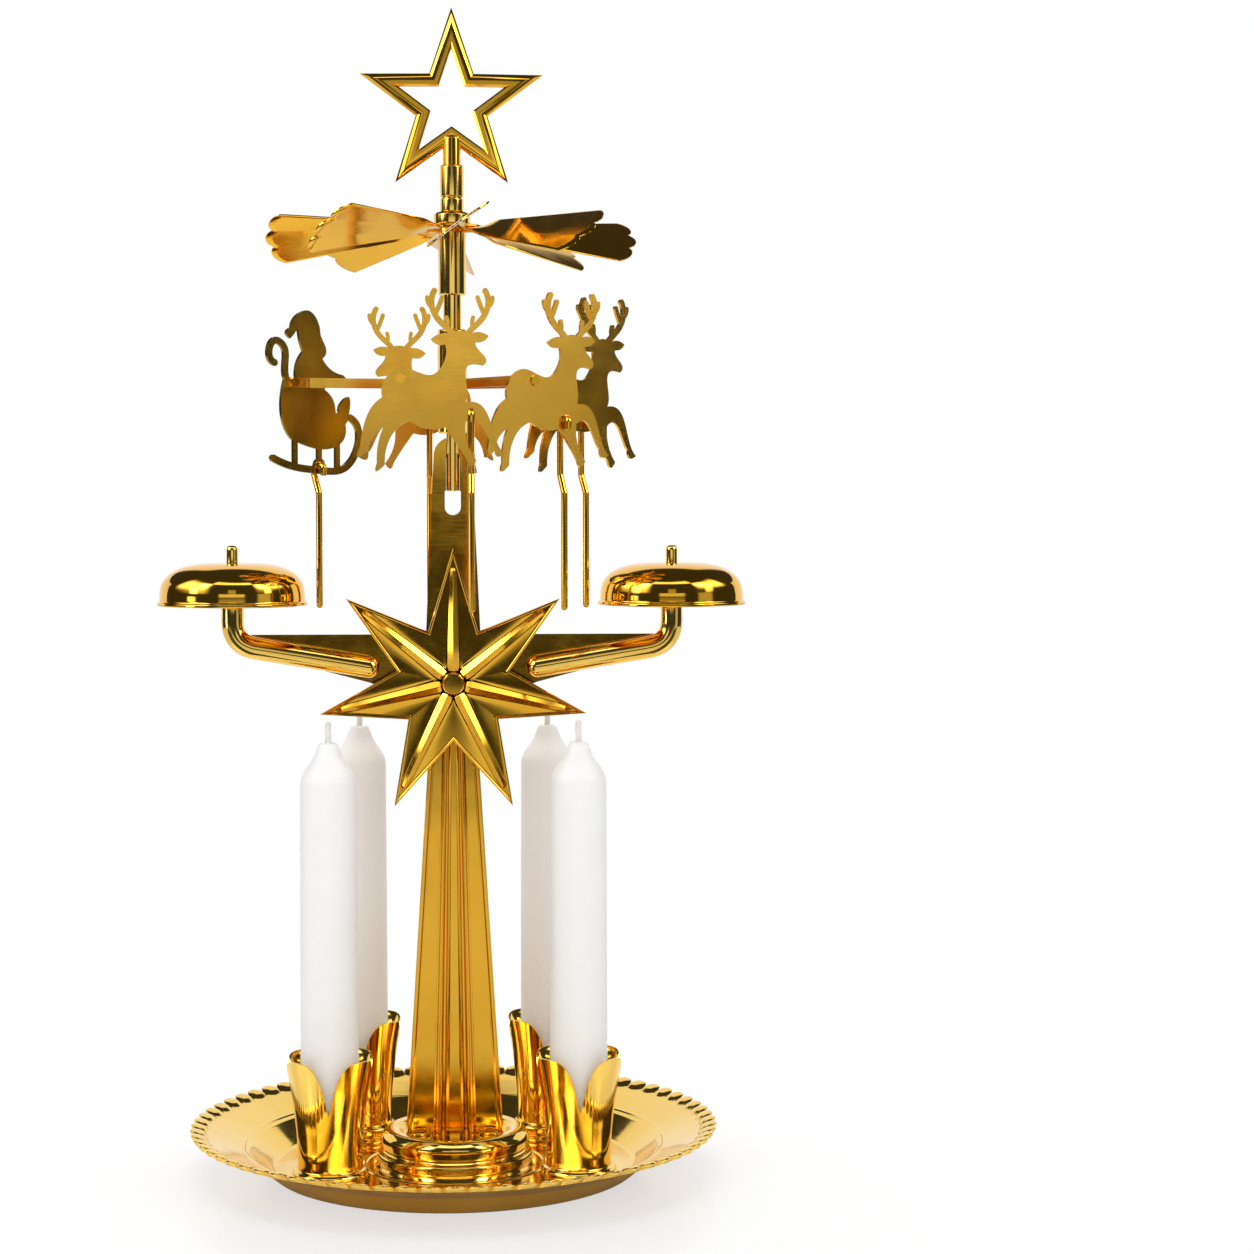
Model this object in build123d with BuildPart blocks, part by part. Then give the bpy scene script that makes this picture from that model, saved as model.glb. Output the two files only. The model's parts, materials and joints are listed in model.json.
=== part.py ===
from build123d import *

import os
from math import atan2, cos, degrees, pi, radians, sin

os.makedirs("parts", exist_ok=True)

# Angel chime carousel. The origin is the middle of the tray on the table, +Z is up and
# the star plate faces -Y. All sizes are in millimetres.

# Plays between pieces
slip = 0.05  # radial play of rivets and of tubes pushed over each other
running = 0.08  # radial play of whatever turns on a pin or rod
point_gap = 0.1  # between the needle's point and the bearing cup

# Tray
tray_radius = 66.0
tray_sheet = 0.8
tray_floor_radius = 45.4  # flat face that stands on the table
tray_well_radius = 49.8
tray_well_depth = 4.6
tray_rim_height = 11.0
rim_lobes = 72
rim_lobe_radius = 2.9

# Boss under the column
boss_radius = 19.5
boss_rim_radius = 17.0
boss_height = 9.4
boss_recess = 2.2
boss_sheet = 0.8
boss_rivet_reach = 9.0

# Candle cups and candles
cup_circle_radius = 36.8
front_cup_reach = 30.3  # sideways, so the front pair stands wider than the rear pair
rear_cup_reach = 24.4
cup_neck_radius = 8.0
cup_bead_radius = 8.9
cup_mouth_radius = 11.4
cup_sheet = 0.6
cup_bead_height = 3.2
cup_seat_height = 8.4
cup_petal_height = 23.5
cup_notch_height = 11.5
cup_notch_width = 2.0
cup_notch_waist = 3.4
candle_length = 100.0
candle_foot_radius = 7.1
candle_shoulder_radius = 6.8
candle_shoulder_drop = 9.3
candle_swell_drop = 5.115  # where the shoulder turns from swelling out to curving in
candle_top_radius = 2.15
wick_radius = 0.8
wick_length = 10.0
wick_shown = 5.2

# Rivets
rivet_radius = 1.2
rivet_head_radius = 2.0
rivet_head_height = 0.7
small_rivet_radius = 0.6
small_rivet_head_radius = 1.2
small_rivet_head_height = 0.5

# Column, upper plate and arm
column_sheet = 1.0
column_foot_width = 24.5
column_top_width = 9.0
column_height = 125.0
rib_foot_width = 10.0
rib_top_width = 3.4
rib_depth = 3.0
rib_crest = 0.75  # width of the rib's crest to the width of its foot
rib_foot_wall = 0.9  # level thickness of the rib's wall, in sheets
rib_crest_wall = 0.75
plate_sheet = 1.2
plate_foot_width = 15.4
plate_top_width = 9.5
plate_height = 68.5
plate_lap = 18.0  # how far the upper plate reaches down behind the column
slot_width = 4.0
slot_height = 15.0
slot_drop = 4.5  # below the top of the upper plate
clip_height = 9.0
clip_sheet = 0.8
clip_reach = 1.5
arm_sheet = 1.2
arm_rise = 1.25  # above the top of the column
arm_root_depth = 12.0
arm_tip_depth = 4.0
arm_root_reach = 21.0
arm_tip_reach = 51.5
joint_rivet_spread = 3.0
joint_rivet_drop = 4.75  # below the top of the arm

# Bells and their posts
bell_reach = 54.5
bell_radius = 18.5
bell_height = 10.5
bell_sheet = 0.7
bell_crown_radius = 5.0
bell_haunch_radius = 15.355
bell_haunch_drop = 2.625
bell_lip = 0.5
bell_rise = 18.0  # crown of the bells above the top of the arm
post_radius = 2.75
post_root_reach = 21.0
post_root_drop = 7.95  # below the top of the arm
post_elbow_drop = 2.35
post_bend_radius = 5.5
pin_radius = 1.45
pin_height = 4.3
pin_round = 1.16

# Star plate
star_drop = 12.0  # centre of the star below the top of the arm
star_points = 7
star_radius = 34.0
star_notch_radius = 14.3
star_sheet = 1.0
star_border = 2.0
star_border_lift = 0.8
star_rib_lift = 1.2
star_rib_root_width = 3.0
star_rib_tip_width = 1.6
star_rib_tip_gap = 6.0
star_hub_radius = 3.6
star_rivet_head_radius = 2.6

# Spindle and the tubes that turn on it
spindle_radius = 1.6
spindle_length = 63.0
spindle_lap = 13.5  # how far the spindle reaches down in front of the upper plate
spindle_point_height = 3.0
spindle_tip_radius = 0.1
tube_radius = 2.25
figure_hub_radius = 3.6
figure_hub_gap = 0.8  # between the upper plate and the figure hub
figure_hub_height = 25.7
rotor_hub_radius = 3.4
rotor_hub_height = 16.5
collar_radius = 4.6
collar_height = 3.2
bearing_height = 4.0
bearing_mouth_radius = 1.28
bearing_floor_radius = 0.2

# Rotor
rotor_rise = 2.0  # above the spindle's point
rotor_sheet = 0.6
rotor_disc_radius = 8.0
blade_count = 8
blade_start_angle = 2.0
blade_reach = 46.0
blade_root_width = 4.6
blade_tip_width = 18.0
blade_pitch = 36.0
blade_droop = 4.5
blade_lobe_depth = 2.2

# Topper
socket_radius = 2.9
socket_height = 11.75
socket_floor = 4.0
stem_radius = 2.2
topper_rise = 14.95  # centre of the star above the top of the socket
topper_radius = 23.75
topper_notch_radius = 9.3
topper_band = 3.2
topper_thickness = 2.6
topper_chamfer = 0.8

# Figures, their arms and the strikers
figure_rise = 7.3  # the figures' own zero line above the foot of their hub
outline_step = 1.0  # length of one step in the figures' outlines and places
figure_sheet = 0.8
holder_sheet = 0.8
holder_depth = 2.4
holder_rise = 3.7  # above the figures' zero line
holder_bend_radius = 2.0
holder_root_radius = 2.7
striker_radius = 0.8
striker_dip = 0.75  # how far a striker hangs below the rim of a bell
hook_reach = 1.9
hook_drop = 2.6
hook_bend_radius = 1.1
kink_depth = 17.7  # below the figures' zero line, just past their feet
kink_drop = 4.5
rivet_share = 0.65  # place of a figure's rivet along its holder's stretch

# Levels and faces that follow from the sizes above
floor_top = tray_sheet
boss_top = floor_top + boss_height
column_foot_height = boss_top - boss_recess
cup_seat = floor_top + cup_seat_height
candle_top = cup_seat + candle_length
column_top_height = column_foot_height + column_height
arm_top_height = column_top_height + arm_rise
joint_rivet_height = arm_top_height - joint_rivet_drop
star_height = arm_top_height - star_drop
post_root_height = arm_top_height - post_root_drop
post_elbow_height = arm_top_height - post_elbow_drop
bell_crown_height = arm_top_height + bell_rise
bell_rim_height = bell_crown_height - bell_height
plate_foot_height = column_top_height - plate_lap
plate_top_height = plate_foot_height + plate_height
slot_top_height = plate_top_height - slot_drop
slot_foot_height = slot_top_height - slot_height
spindle_foot_height = plate_top_height - spindle_lap
spindle_top_height = spindle_foot_height + spindle_length
plate_front = spindle_radius + slip
arm_front = plate_front - arm_sheet
column_front = arm_front - column_sheet
rib_front = column_front - rib_depth
star_front = rib_front - star_sheet
post_offset = arm_front - post_radius - slip
figure_hub_foot = plate_top_height + figure_hub_gap
figure_hub_top = figure_hub_foot + figure_hub_height
figure_height = figure_hub_foot + figure_rise
holder_height = figure_height + holder_rise
kink_height = figure_height - kink_depth
striker_foot_height = bell_rim_height - striker_dip
rotor_height = spindle_top_height + rotor_rise
rotor_hub_foot = rotor_height - rotor_hub_height
collar_foot = rotor_height + rotor_sheet
tube_top = collar_foot + collar_height
topper_height = tube_top + socket_height + topper_rise
bearing_foot = spindle_top_height - spindle_point_height / 2
bearing_top = bearing_foot + bearing_height
tube_bore_radius = spindle_radius + running
sleeve_bore_radius = tube_radius + slip


def ring_points(count, radius, start=0.0):
    """Points spread evenly on a circle, the first one at the start angle in degrees."""
    steps = [radians(start + 360 * i / count) for i in range(count)]
    return [(radius * cos(a), radius * sin(a)) for a in steps]


def star_outline(count, tip_radius, notch_radius):
    """Corners of a star that points up, tips and notches in turn."""
    tips = ring_points(count, tip_radius, 90)
    notches = ring_points(count, notch_radius, 90 + 180 / count)
    return [corner for pair in zip(tips, notches) for corner in pair]


def turned(points, angle):
    """The same points turned about the origin by an angle in degrees."""
    c = cos(radians(angle))
    s = sin(radians(angle))
    return [(x * c - y * s, x * s + y * c) for x, y in points]


def front_plane(depth, height=0.0):
    """Upright plane at a depth along Y: its own X is right, its own Y is up, it faces -Y."""
    return Plane((0, depth, height), x_dir=(1, 0, 0), z_dir=(0, -1, 0))


def save(builder, name):
    """Label a finished piece and write it."""
    builder.part.label = name
    export_step(builder.part, f"parts/{name}.step")


front_cup_depth = -((cup_circle_radius**2 - front_cup_reach**2) ** 0.5)
rear_cup_depth = (cup_circle_radius**2 - rear_cup_reach**2) ** 0.5
cup_places = [
    (-front_cup_reach, front_cup_depth),
    (front_cup_reach, front_cup_depth),
    (rear_cup_reach, rear_cup_depth),
    (-rear_cup_reach, rear_cup_depth),
]
foot_tab_depth = 2 * rivet_head_radius + column_sheet
boss_rivet_depth = column_front - foot_tab_depth / 2
boss_rivet_places = [(side * boss_rivet_reach, boss_rivet_depth) for side in (-1, 1)]

# Tray: one pressed sheet, cut to a lobed edge
with BuildPart() as tray:
    with BuildSketch(Plane.XZ):
        with BuildLine():
            floor = Line((0, 0), (tray_floor_radius, 0))
            well = TangentArc(floor @ 1, (tray_well_radius, tray_well_depth), tangent=(1, 0))
            Line(well @ 1, (tray_radius + tray_sheet, tray_rim_height))
            offset(amount=tray_sheet, side=Side.LEFT, kind=Kind.INTERSECTION)
        make_face()
    revolve(axis=Axis.Z)
    with BuildSketch():
        Circle(tray_radius - rim_lobe_radius)
        with PolarLocations(tray_radius - rim_lobe_radius, rim_lobes):
            Circle(rim_lobe_radius)
    extrude(amount=2 * tray_rim_height, mode=Mode.INTERSECT)
    with BuildSketch():
        with Locations(*cup_places, *boss_rivet_places):
            Circle(rivet_radius + slip)
    extrude(amount=tray_sheet, mode=Mode.SUBTRACT)
save(tray, "tray")

# Boss: drawn pedestal with a rolled rim and a sunk top
with BuildPart() as boss:
    with BuildSketch(Plane.XZ):
        with BuildLine():
            rim_round = (boss_radius - boss_rim_radius) / 2
            rise = Polyline(
                (0, column_foot_height),
                (boss_rim_radius - rim_round - boss_recess, column_foot_height),
                (boss_rim_radius - rim_round, boss_top - rim_round),
            )
            roll = ThreePointArc(
                rise @ 1,
                (boss_rim_radius, boss_top),
                (boss_rim_radius + rim_round, boss_top - rim_round),
            )
            wall = Line(roll @ 1, (boss_radius, floor_top))
            Polyline(
                wall @ 1,
                (boss_radius - boss_sheet, floor_top),
                (boss_rim_radius + rim_round - boss_sheet, column_foot_height - boss_sheet),
                (0, column_foot_height - boss_sheet),
                (0, column_foot_height),
            )
        make_face()
    revolve(axis=Axis.Z)
    with Locations(*[(x, y, floor_top) for x, y in boss_rivet_places]):
        Cylinder(
            rivet_head_radius + boss_sheet,
            column_foot_height - floor_top - boss_sheet,
            align=(Align.CENTER, Align.CENTER, Align.MIN),
        )
    with Locations(*[(x, y, floor_top) for x, y in boss_rivet_places]):
        Cylinder(
            rivet_radius + slip,
            boss_height,
            align=(Align.CENTER, Align.CENTER, Align.MIN),
            mode=Mode.SUBTRACT,
        )
save(boss, "base_boss")

# Boss rivets: through the column's feet, the boss and the tray, flush below
with BuildPart() as boss_rivets:
    with BuildSketch(Plane.XY.offset(column_foot_height + column_sheet)):
        with Locations(*boss_rivet_places):
            Circle(rivet_head_radius)
    extrude(amount=rivet_head_height)
    with BuildSketch():
        with Locations(*boss_rivet_places):
            Circle(rivet_radius)
    extrude(amount=column_foot_height + column_sheet)
save(boss_rivets, "boss_rivets")

# Cup rivets: inside each cup's neck, through the tray, flush below
with BuildPart() as cup_rivets:
    with BuildSketch(Plane.XY.offset(floor_top + cup_sheet)):
        with Locations(*cup_places):
            Circle(rivet_head_radius)
    extrude(amount=rivet_head_height)
    with BuildSketch():
        with Locations(*cup_places):
            Circle(rivet_radius)
    extrude(amount=tray_sheet + cup_sheet)
save(cup_rivets, "cup_rivets")


def upright_plane(place):
    """Upright plane through a place on the tray, for profiles that turn about its vertical."""
    return Plane((place[0], place[1], 0), x_dir=(1, 0, 0), z_dir=(0, -1, 0))


def vertical(place):
    """The vertical axis through a place on the tray."""
    return Axis((place[0], place[1], 0), (0, 0, 1))


# Candle cups: low bead, seat and a tulip of petals that open wide between V notches
cup_bore_radius = cup_neck_radius - cup_sheet
cup_rim = cup_seat + cup_petal_height
cup_bead = floor_top + cup_bead_height
for number, place in enumerate(cup_places, start=1):
    with BuildPart() as cup:
        with BuildSketch(upright_plane(place)):
            with BuildLine():
                bead_height = cup_bead_radius - cup_neck_radius
                neck = Polyline(
                    (rivet_radius + slip, floor_top),
                    (cup_neck_radius, floor_top),
                    (cup_neck_radius, cup_bead - bead_height),
                )
                bead = ThreePointArc(
                    neck @ 1, (cup_bead_radius, cup_bead), (cup_neck_radius, cup_bead + bead_height)
                )
                flare = TangentArc(bead @ 1, (cup_mouth_radius, cup_rim), tangent=(0, 1))
                lip = Line(flare @ 1, (cup_mouth_radius - cup_sheet, cup_rim))
                bore = TangentArc(
                    (cup_bore_radius, cup_seat + cup_sheet), lip @ 1, tangent=(0, 1)
                )
                Polyline(
                    bore @ 0,
                    (cup_bore_radius, cup_seat),
                    (0, cup_seat),
                    (0, cup_seat - cup_sheet),
                    (cup_bore_radius, cup_seat - cup_sheet),
                    (cup_bore_radius, floor_top + cup_sheet),
                    (rivet_radius + slip, floor_top + cup_sheet),
                    (rivet_radius + slip, floor_top),
                )
            make_face()
        revolve(axis=vertical(place))
        for turn in (0, 90):
            side_plane = Plane(
                (place[0], place[1], cup_seat),
                x_dir=(cos(radians(turn)), sin(radians(turn)), 0),
                z_dir=(sin(radians(turn)), -cos(radians(turn)), 0),
            )
            with BuildSketch(side_plane):
                with BuildLine():
                    tip_reach = cup_mouth_radius * sin(pi / 4)
                    half = cup_notch_width / 2
                    waist = (cup_notch_waist / 2, (cup_notch_height + cup_petal_height) / 2)
                    right = ThreePointArc(
                        (half, cup_notch_height), waist, (tip_reach, cup_petal_height)
                    )
                    left = ThreePointArc(
                        (-half, cup_notch_height), (-waist[0], waist[1]), (-tip_reach, cup_petal_height)
                    )
                    ThreePointArc(left @ 0, (0, cup_notch_height - half), right @ 0)
                    Polyline(
                        left @ 1,
                        (-tip_reach, cup_petal_height + cup_sheet),
                        (tip_reach, cup_petal_height + cup_sheet),
                        right @ 1,
                    )
                make_face()
            extrude(amount=2 * cup_mouth_radius, both=True, mode=Mode.SUBTRACT)
    save(cup, f"candle_cup_{number}")

# Candles with their wicks
for number, place in enumerate(cup_places, start=1):
    with BuildPart() as candle:
        with BuildSketch(upright_plane(place)):
            with BuildLine():
                shoulder = (candle_shoulder_radius, candle_top - candle_shoulder_drop)
                middle = (
                    (candle_shoulder_radius + candle_top_radius) / 2,
                    candle_top - candle_swell_drop,
                )
                wick_foot = candle_top - (wick_length - wick_shown)
                body = Polyline((0, cup_seat), (candle_foot_radius, cup_seat), shoulder)
                swell = TangentArc(body @ 1, middle, tangent=body % 1)
                neck = TangentArc(swell @ 1, (candle_top_radius, candle_top), tangent=swell % 1)
                Polyline(
                    neck @ 1,
                    (wick_radius + slip, candle_top),
                    (wick_radius + slip, wick_foot),
                    (0, wick_foot),
                    (0, cup_seat),
                )
            make_face()
        revolve(axis=vertical(place))
    save(candle, f"candle_{number}")

    with BuildPart() as wick:
        with BuildSketch(Plane.XY.offset(wick_foot)):
            with Locations(place):
                Circle(wick_radius)
        extrude(amount=wick_length)
        fillet(wick.faces().sort_by(Axis.Z)[-1].edges(), wick_radius / 2)
    save(wick, f"wick_{number}")


def column_section(width, rib_width):
    """Cross section of the column: two flanges and a hollow rib that stands out to the front."""
    half = width / 2
    rib = rib_width / 2
    crest = rib_crest * rib
    right = [
        (rib - rib_foot_wall * column_sheet, arm_front),
        (half, arm_front),
        (half, column_front),
        (rib, column_front),
        (crest, rib_front),
    ]
    inside = (crest - rib_crest_wall * column_sheet, rib_front + column_sheet)
    loop = [inside] + right
    return loop + [(-x, y) for x, y in reversed(loop)]


joint_rivet_places = [(side * joint_rivet_spread, joint_rivet_height) for side in (-1, 1)]

# Column: tapered sheet with a rib and two feet
with BuildPart() as column:
    with BuildSketch(Plane.XY.offset(column_foot_height)):
        with BuildLine():
            Polyline(*column_section(column_foot_width, rib_foot_width), close=True)
        make_face()
    with BuildSketch(Plane.XY.offset(column_top_height)):
        with BuildLine():
            Polyline(*column_section(column_top_width, rib_top_width), close=True)
        make_face()
    loft(ruled=True)
    with BuildSketch(Plane.XY.offset(column_foot_height)):
        with Locations(*boss_rivet_places):
            Rectangle(2 * rivet_head_radius, foot_tab_depth)
    extrude(amount=column_sheet)
    with BuildSketch(Plane.XY.offset(column_foot_height)):
        with Locations(*boss_rivet_places):
            Circle(rivet_radius + slip)
    extrude(amount=column_sheet, mode=Mode.SUBTRACT)
    with BuildSketch(front_plane(rib_front)):
        with Locations((0, star_height), *joint_rivet_places):
            Circle(small_rivet_radius + slip)
    extrude(amount=rib_front - arm_front, mode=Mode.SUBTRACT)
save(column, "column")

# Upper plate: slotted, with two clips that hold the foot of the spindle
with BuildPart() as plate:
    with BuildSketch(front_plane(plate_front)):
        with BuildLine():
            top_half = plate_top_width / 2
            shoulder_height = plate_top_height - top_half
            crown = ThreePointArc(
                (top_half, shoulder_height), (0, plate_top_height), (-top_half, shoulder_height)
            )
            Polyline(
                crown @ 1,
                (-plate_foot_width / 2, plate_foot_height),
                (plate_foot_width / 2, plate_foot_height),
                crown @ 0,
            )
        make_face()
        with Locations((0, (slot_foot_height + slot_top_height) / 2)):
            SlotOverall(slot_top_height - slot_foot_height, slot_width, 90, mode=Mode.SUBTRACT)
        with Locations((0, star_height), *joint_rivet_places):
            Circle(small_rivet_radius + slip, mode=Mode.SUBTRACT)
    extrude(amount=-plate_sheet)
    with BuildSketch(front_plane(plate_front)):
        clip_offset = spindle_radius + slip + clip_sheet / 2
        clip_middle = spindle_foot_height + clip_height / 2
        with Locations((-clip_offset, clip_middle), (clip_offset, clip_middle)):
            Rectangle(clip_sheet, clip_height)
    extrude(amount=plate_front + clip_reach)
save(plate, "spindle_plate")

# Cross arm: one sheet that tapers to both sides
with BuildPart() as cross_arm:
    with BuildSketch(front_plane(arm_front)):
        with BuildLine():
            arm_foot_height = star_height - star_hub_radius - small_rivet_head_radius
            right_edge = [
                (arm_tip_reach, arm_top_height),
                (arm_tip_reach, arm_top_height - arm_tip_depth),
                (arm_root_reach, arm_top_height - arm_root_depth),
                (plate_foot_width / 2, arm_foot_height),
            ]
            Polyline(*right_edge, *[(-x, z) for x, z in reversed(right_edge)], close=True)
        make_face()
        with Locations((0, star_height), *joint_rivet_places):
            Circle(small_rivet_radius + slip, mode=Mode.SUBTRACT)
    extrude(amount=-arm_sheet)
save(cross_arm, "cross_arm")

# Joint rivets: through the column's flanges, the arm and the upper plate
with BuildPart() as joint_rivets:
    with BuildSketch(front_plane(column_front)):
        with Locations(*joint_rivet_places):
            Circle(small_rivet_head_radius)
    extrude(amount=small_rivet_head_height)
    with BuildSketch(front_plane(column_front)):
        with Locations(*joint_rivet_places):
            Circle(small_rivet_radius)
    extrude(amount=-(column_sheet + arm_sheet + plate_sheet))
    with BuildSketch(front_plane(plate_front + plate_sheet)):
        with Locations(*joint_rivet_places):
            Circle(small_rivet_head_radius)
    extrude(amount=-small_rivet_head_height)
save(joint_rivets, "joint_rivets")

# Bell posts: bent rods along the arm, each with a shoulder and a pin for its bell
shoulder_top = bell_crown_height - bell_sheet
for side, name in ((-1, "left"), (1, "right")):
    with BuildPart() as post:
        with BuildLine() as rod_line:
            FilletPolyline(
                (side * post_root_reach, post_offset, post_root_height),
                (side * bell_reach, post_offset, post_elbow_height),
                (side * bell_reach, post_offset, shoulder_top),
                radius=post_bend_radius,
            )
        with BuildSketch(Plane(rod_line.line @ 0, z_dir=rod_line.line % 0)):
            Circle(post_radius)
        sweep()
        with Locations(rod_line.line @ 0):
            Sphere(post_radius)
        with BuildSketch(Plane.XY.offset(shoulder_top)):
            with Locations((side * bell_reach, post_offset)):
                Circle(pin_radius)
        extrude(amount=bell_sheet + pin_height)
        fillet(post.faces().sort_by(Axis.Z)[-1].edges(), pin_round)
    save(post, f"bell_post_{name}")

# Bells: flat domes with a turned lip, loose on their pins
for side, name in ((-1, "left"), (1, "right")):
    bell_place = (side * bell_reach, post_offset)
    with BuildPart() as bell:
        with BuildSketch(upright_plane(bell_place)):
            with BuildLine():
                crown = Line(
                    (pin_radius + running, bell_crown_height), (bell_crown_radius, bell_crown_height)
                )
                haunch = (bell_haunch_radius, bell_crown_height - bell_haunch_drop)
                dome = TangentArc(crown @ 1, haunch, tangent=(1, 0))
                wall_foot = (bell_radius - bell_lip, bell_rim_height + 2 * bell_lip)
                skirt = TangentArc(dome @ 1, wall_foot, tangent=dome % 1)
                Line(skirt @ 1, (bell_radius, bell_rim_height))
                offset(amount=bell_sheet, side=Side.RIGHT, kind=Kind.INTERSECTION)
            make_face()
        revolve(axis=vertical(bell_place))
    save(bell, f"bell_{name}")

# Star plate: pressed star with a raised border, tapered ribs and a hub
with BuildPart() as star_plate:
    with BuildSketch(front_plane(rib_front, star_height)):
        with BuildLine():
            Polyline(*star_outline(star_points, star_radius, star_notch_radius), close=True)
        make_face()
    extrude(amount=star_sheet)
    with BuildSketch(front_plane(star_front, star_height)):
        with BuildLine():
            Polyline(*star_outline(star_points, star_radius, star_notch_radius), close=True)
        make_face()
        offset(amount=-star_border, kind=Kind.INTERSECTION, mode=Mode.SUBTRACT)
    extrude(amount=star_border_lift)
    rib_end = star_radius - star_rib_tip_gap
    rib_corners = [
        (0, -star_rib_root_width / 2),
        (rib_end, -star_rib_tip_width / 2),
        (rib_end, star_rib_tip_width / 2),
        (0, star_rib_root_width / 2),
    ]
    with BuildSketch(front_plane(star_front, star_height)):
        Circle(star_hub_radius)
        for number in range(star_points):
            with BuildLine():
                Polyline(*turned(rib_corners, 90 + 360 * number / star_points), close=True)
            make_face()
    extrude(amount=star_rib_lift)
    with BuildSketch(front_plane(rib_front, star_height)):
        Circle(small_rivet_radius + slip)
    extrude(amount=star_sheet + star_rib_lift, mode=Mode.SUBTRACT)
save(star_plate, "star_plate")

# Star rivet: flat head in front, through column, arm and upper plate
with BuildPart() as star_rivet:
    head_front = star_front - star_rib_lift
    with BuildSketch(front_plane(head_front, star_height)):
        Circle(star_rivet_head_radius)
    extrude(amount=small_rivet_head_height)
    with BuildSketch(front_plane(head_front, star_height)):
        Circle(small_rivet_radius)
    extrude(amount=head_front - plate_front - plate_sheet)
    with BuildSketch(front_plane(plate_front + plate_sheet, star_height)):
        Circle(small_rivet_head_radius)
    extrude(amount=-small_rivet_head_height)
save(star_rivet, "star_rivet")

# Spindle: plain rod with a needle point
with BuildPart() as spindle:
    with BuildSketch(Plane.XY.offset(spindle_foot_height)):
        Circle(spindle_radius)
    extrude(amount=spindle_top_height - spindle_point_height - spindle_foot_height)
    with Locations((0, 0, spindle_top_height - spindle_point_height)):
        Cone(
            spindle_radius,
            spindle_tip_radius,
            spindle_point_height,
            align=(Align.CENTER, Align.CENTER, Align.MIN),
        )
save(spindle, "spindle")

# Pivot cup: plug in the carrier tube that sits on the needle's point
with BuildPart() as pivot_cup:
    with BuildSketch(Plane.XY.offset(bearing_foot)):
        Circle(tube_bore_radius - slip)
    extrude(amount=bearing_height)
    with Locations((0, 0, bearing_foot)):
        Cone(
            bearing_mouth_radius,
            bearing_floor_radius,
            spindle_point_height / 2 + point_gap,
            align=(Align.CENTER, Align.CENTER, Align.MIN),
            mode=Mode.SUBTRACT,
        )
save(pivot_cup, "pivot_cup")


def sleeve(outer_radius, bore_radius, foot, top):
    """A plain tube about the spindle, on the part in hand."""
    with BuildSketch(Plane.XY.offset(foot)) as ring:
        Circle(outer_radius)
        Circle(bore_radius, mode=Mode.SUBTRACT)
    extrude(ring.sketch, amount=top - foot)


with BuildPart() as carrier_tube:
    sleeve(tube_radius, tube_bore_radius, figure_hub_foot, tube_top)
save(carrier_tube, "carrier_tube")

with BuildPart() as rotor_hub:
    sleeve(rotor_hub_radius, sleeve_bore_radius, rotor_hub_foot, rotor_height)
save(rotor_hub, "rotor_hub")

with BuildPart() as rotor_collar:
    sleeve(collar_radius, sleeve_bore_radius, collar_foot, tube_top)
    chamfer(rotor_collar.faces().sort_by(Axis.Z)[-1].outer_wire().edges(), rotor_sheet)
save(rotor_collar, "rotor_collar")


def blade_plane(angle):
    """Plane of one blade: its own X runs outward and droops, its counter-clockwise edge is tipped up."""
    outward = Vector(cos(radians(angle)), sin(radians(angle)), 0)
    along = Vector(-outward.Y, outward.X, 0)
    up = Vector(0, 0, 1)
    droop = radians(blade_droop)
    pitch = radians(blade_pitch)
    x_dir = outward * cos(droop) - up * sin(droop)
    lifted = outward * sin(droop) + up * cos(droop)
    z_dir = lifted * cos(pitch) - along * sin(pitch)
    return Plane((0, 0, rotor_height + rotor_sheet / 2), x_dir=x_dir, z_dir=z_dir)


# Rotor: stamped disc with pitched blades that end in three lobes
with BuildPart() as rotor:
    with BuildSketch(Plane.XY.offset(rotor_height)):
        Circle(rotor_disc_radius)
        Circle(sleeve_bore_radius, mode=Mode.SUBTRACT)
    extrude(amount=rotor_sheet)
    for number in range(blade_count):
        with BuildSketch(blade_plane(blade_start_angle + 360 * number / blade_count)):
            with BuildLine():
                root = (rotor_disc_radius + collar_radius) / 2
                corner_reach = blade_reach - 2 * blade_lobe_depth
                inner_reach = blade_reach - blade_lobe_depth
                side_lobe = (blade_reach - blade_lobe_depth / 2, blade_tip_width / 3)
                corner = (corner_reach, blade_tip_width / 2)
                dip = (inner_reach, blade_tip_width / 6)
                lower = ThreePointArc(
                    (corner[0], -corner[1]), (side_lobe[0], -side_lobe[1]), (dip[0], -dip[1])
                )
                middle = ThreePointArc(lower @ 1, (blade_reach, 0), dip)
                upper = ThreePointArc(middle @ 1, side_lobe, corner)
                root_half = blade_root_width / 2
                Polyline(upper @ 1, (root, root_half), (root, -root_half), lower @ 0)
            make_face()
        extrude(amount=rotor_sheet / 2, both=True)
save(rotor, "rotor")

# Topper socket: stepped plug on top of the carrier tube
with BuildPart() as topper_socket:
    with BuildSketch(Plane.XY.offset(bearing_top)):
        Circle(tube_bore_radius - slip)
    extrude(amount=tube_top - bearing_top)
    with BuildSketch(Plane.XY.offset(tube_top)):
        Circle(socket_radius)
    extrude(amount=socket_height)
    with BuildSketch(Plane.XY.offset(tube_top + socket_floor)):
        Circle(stem_radius + slip)
    extrude(amount=socket_height - socket_floor, mode=Mode.SUBTRACT)
save(topper_socket, "topper_socket")

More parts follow.
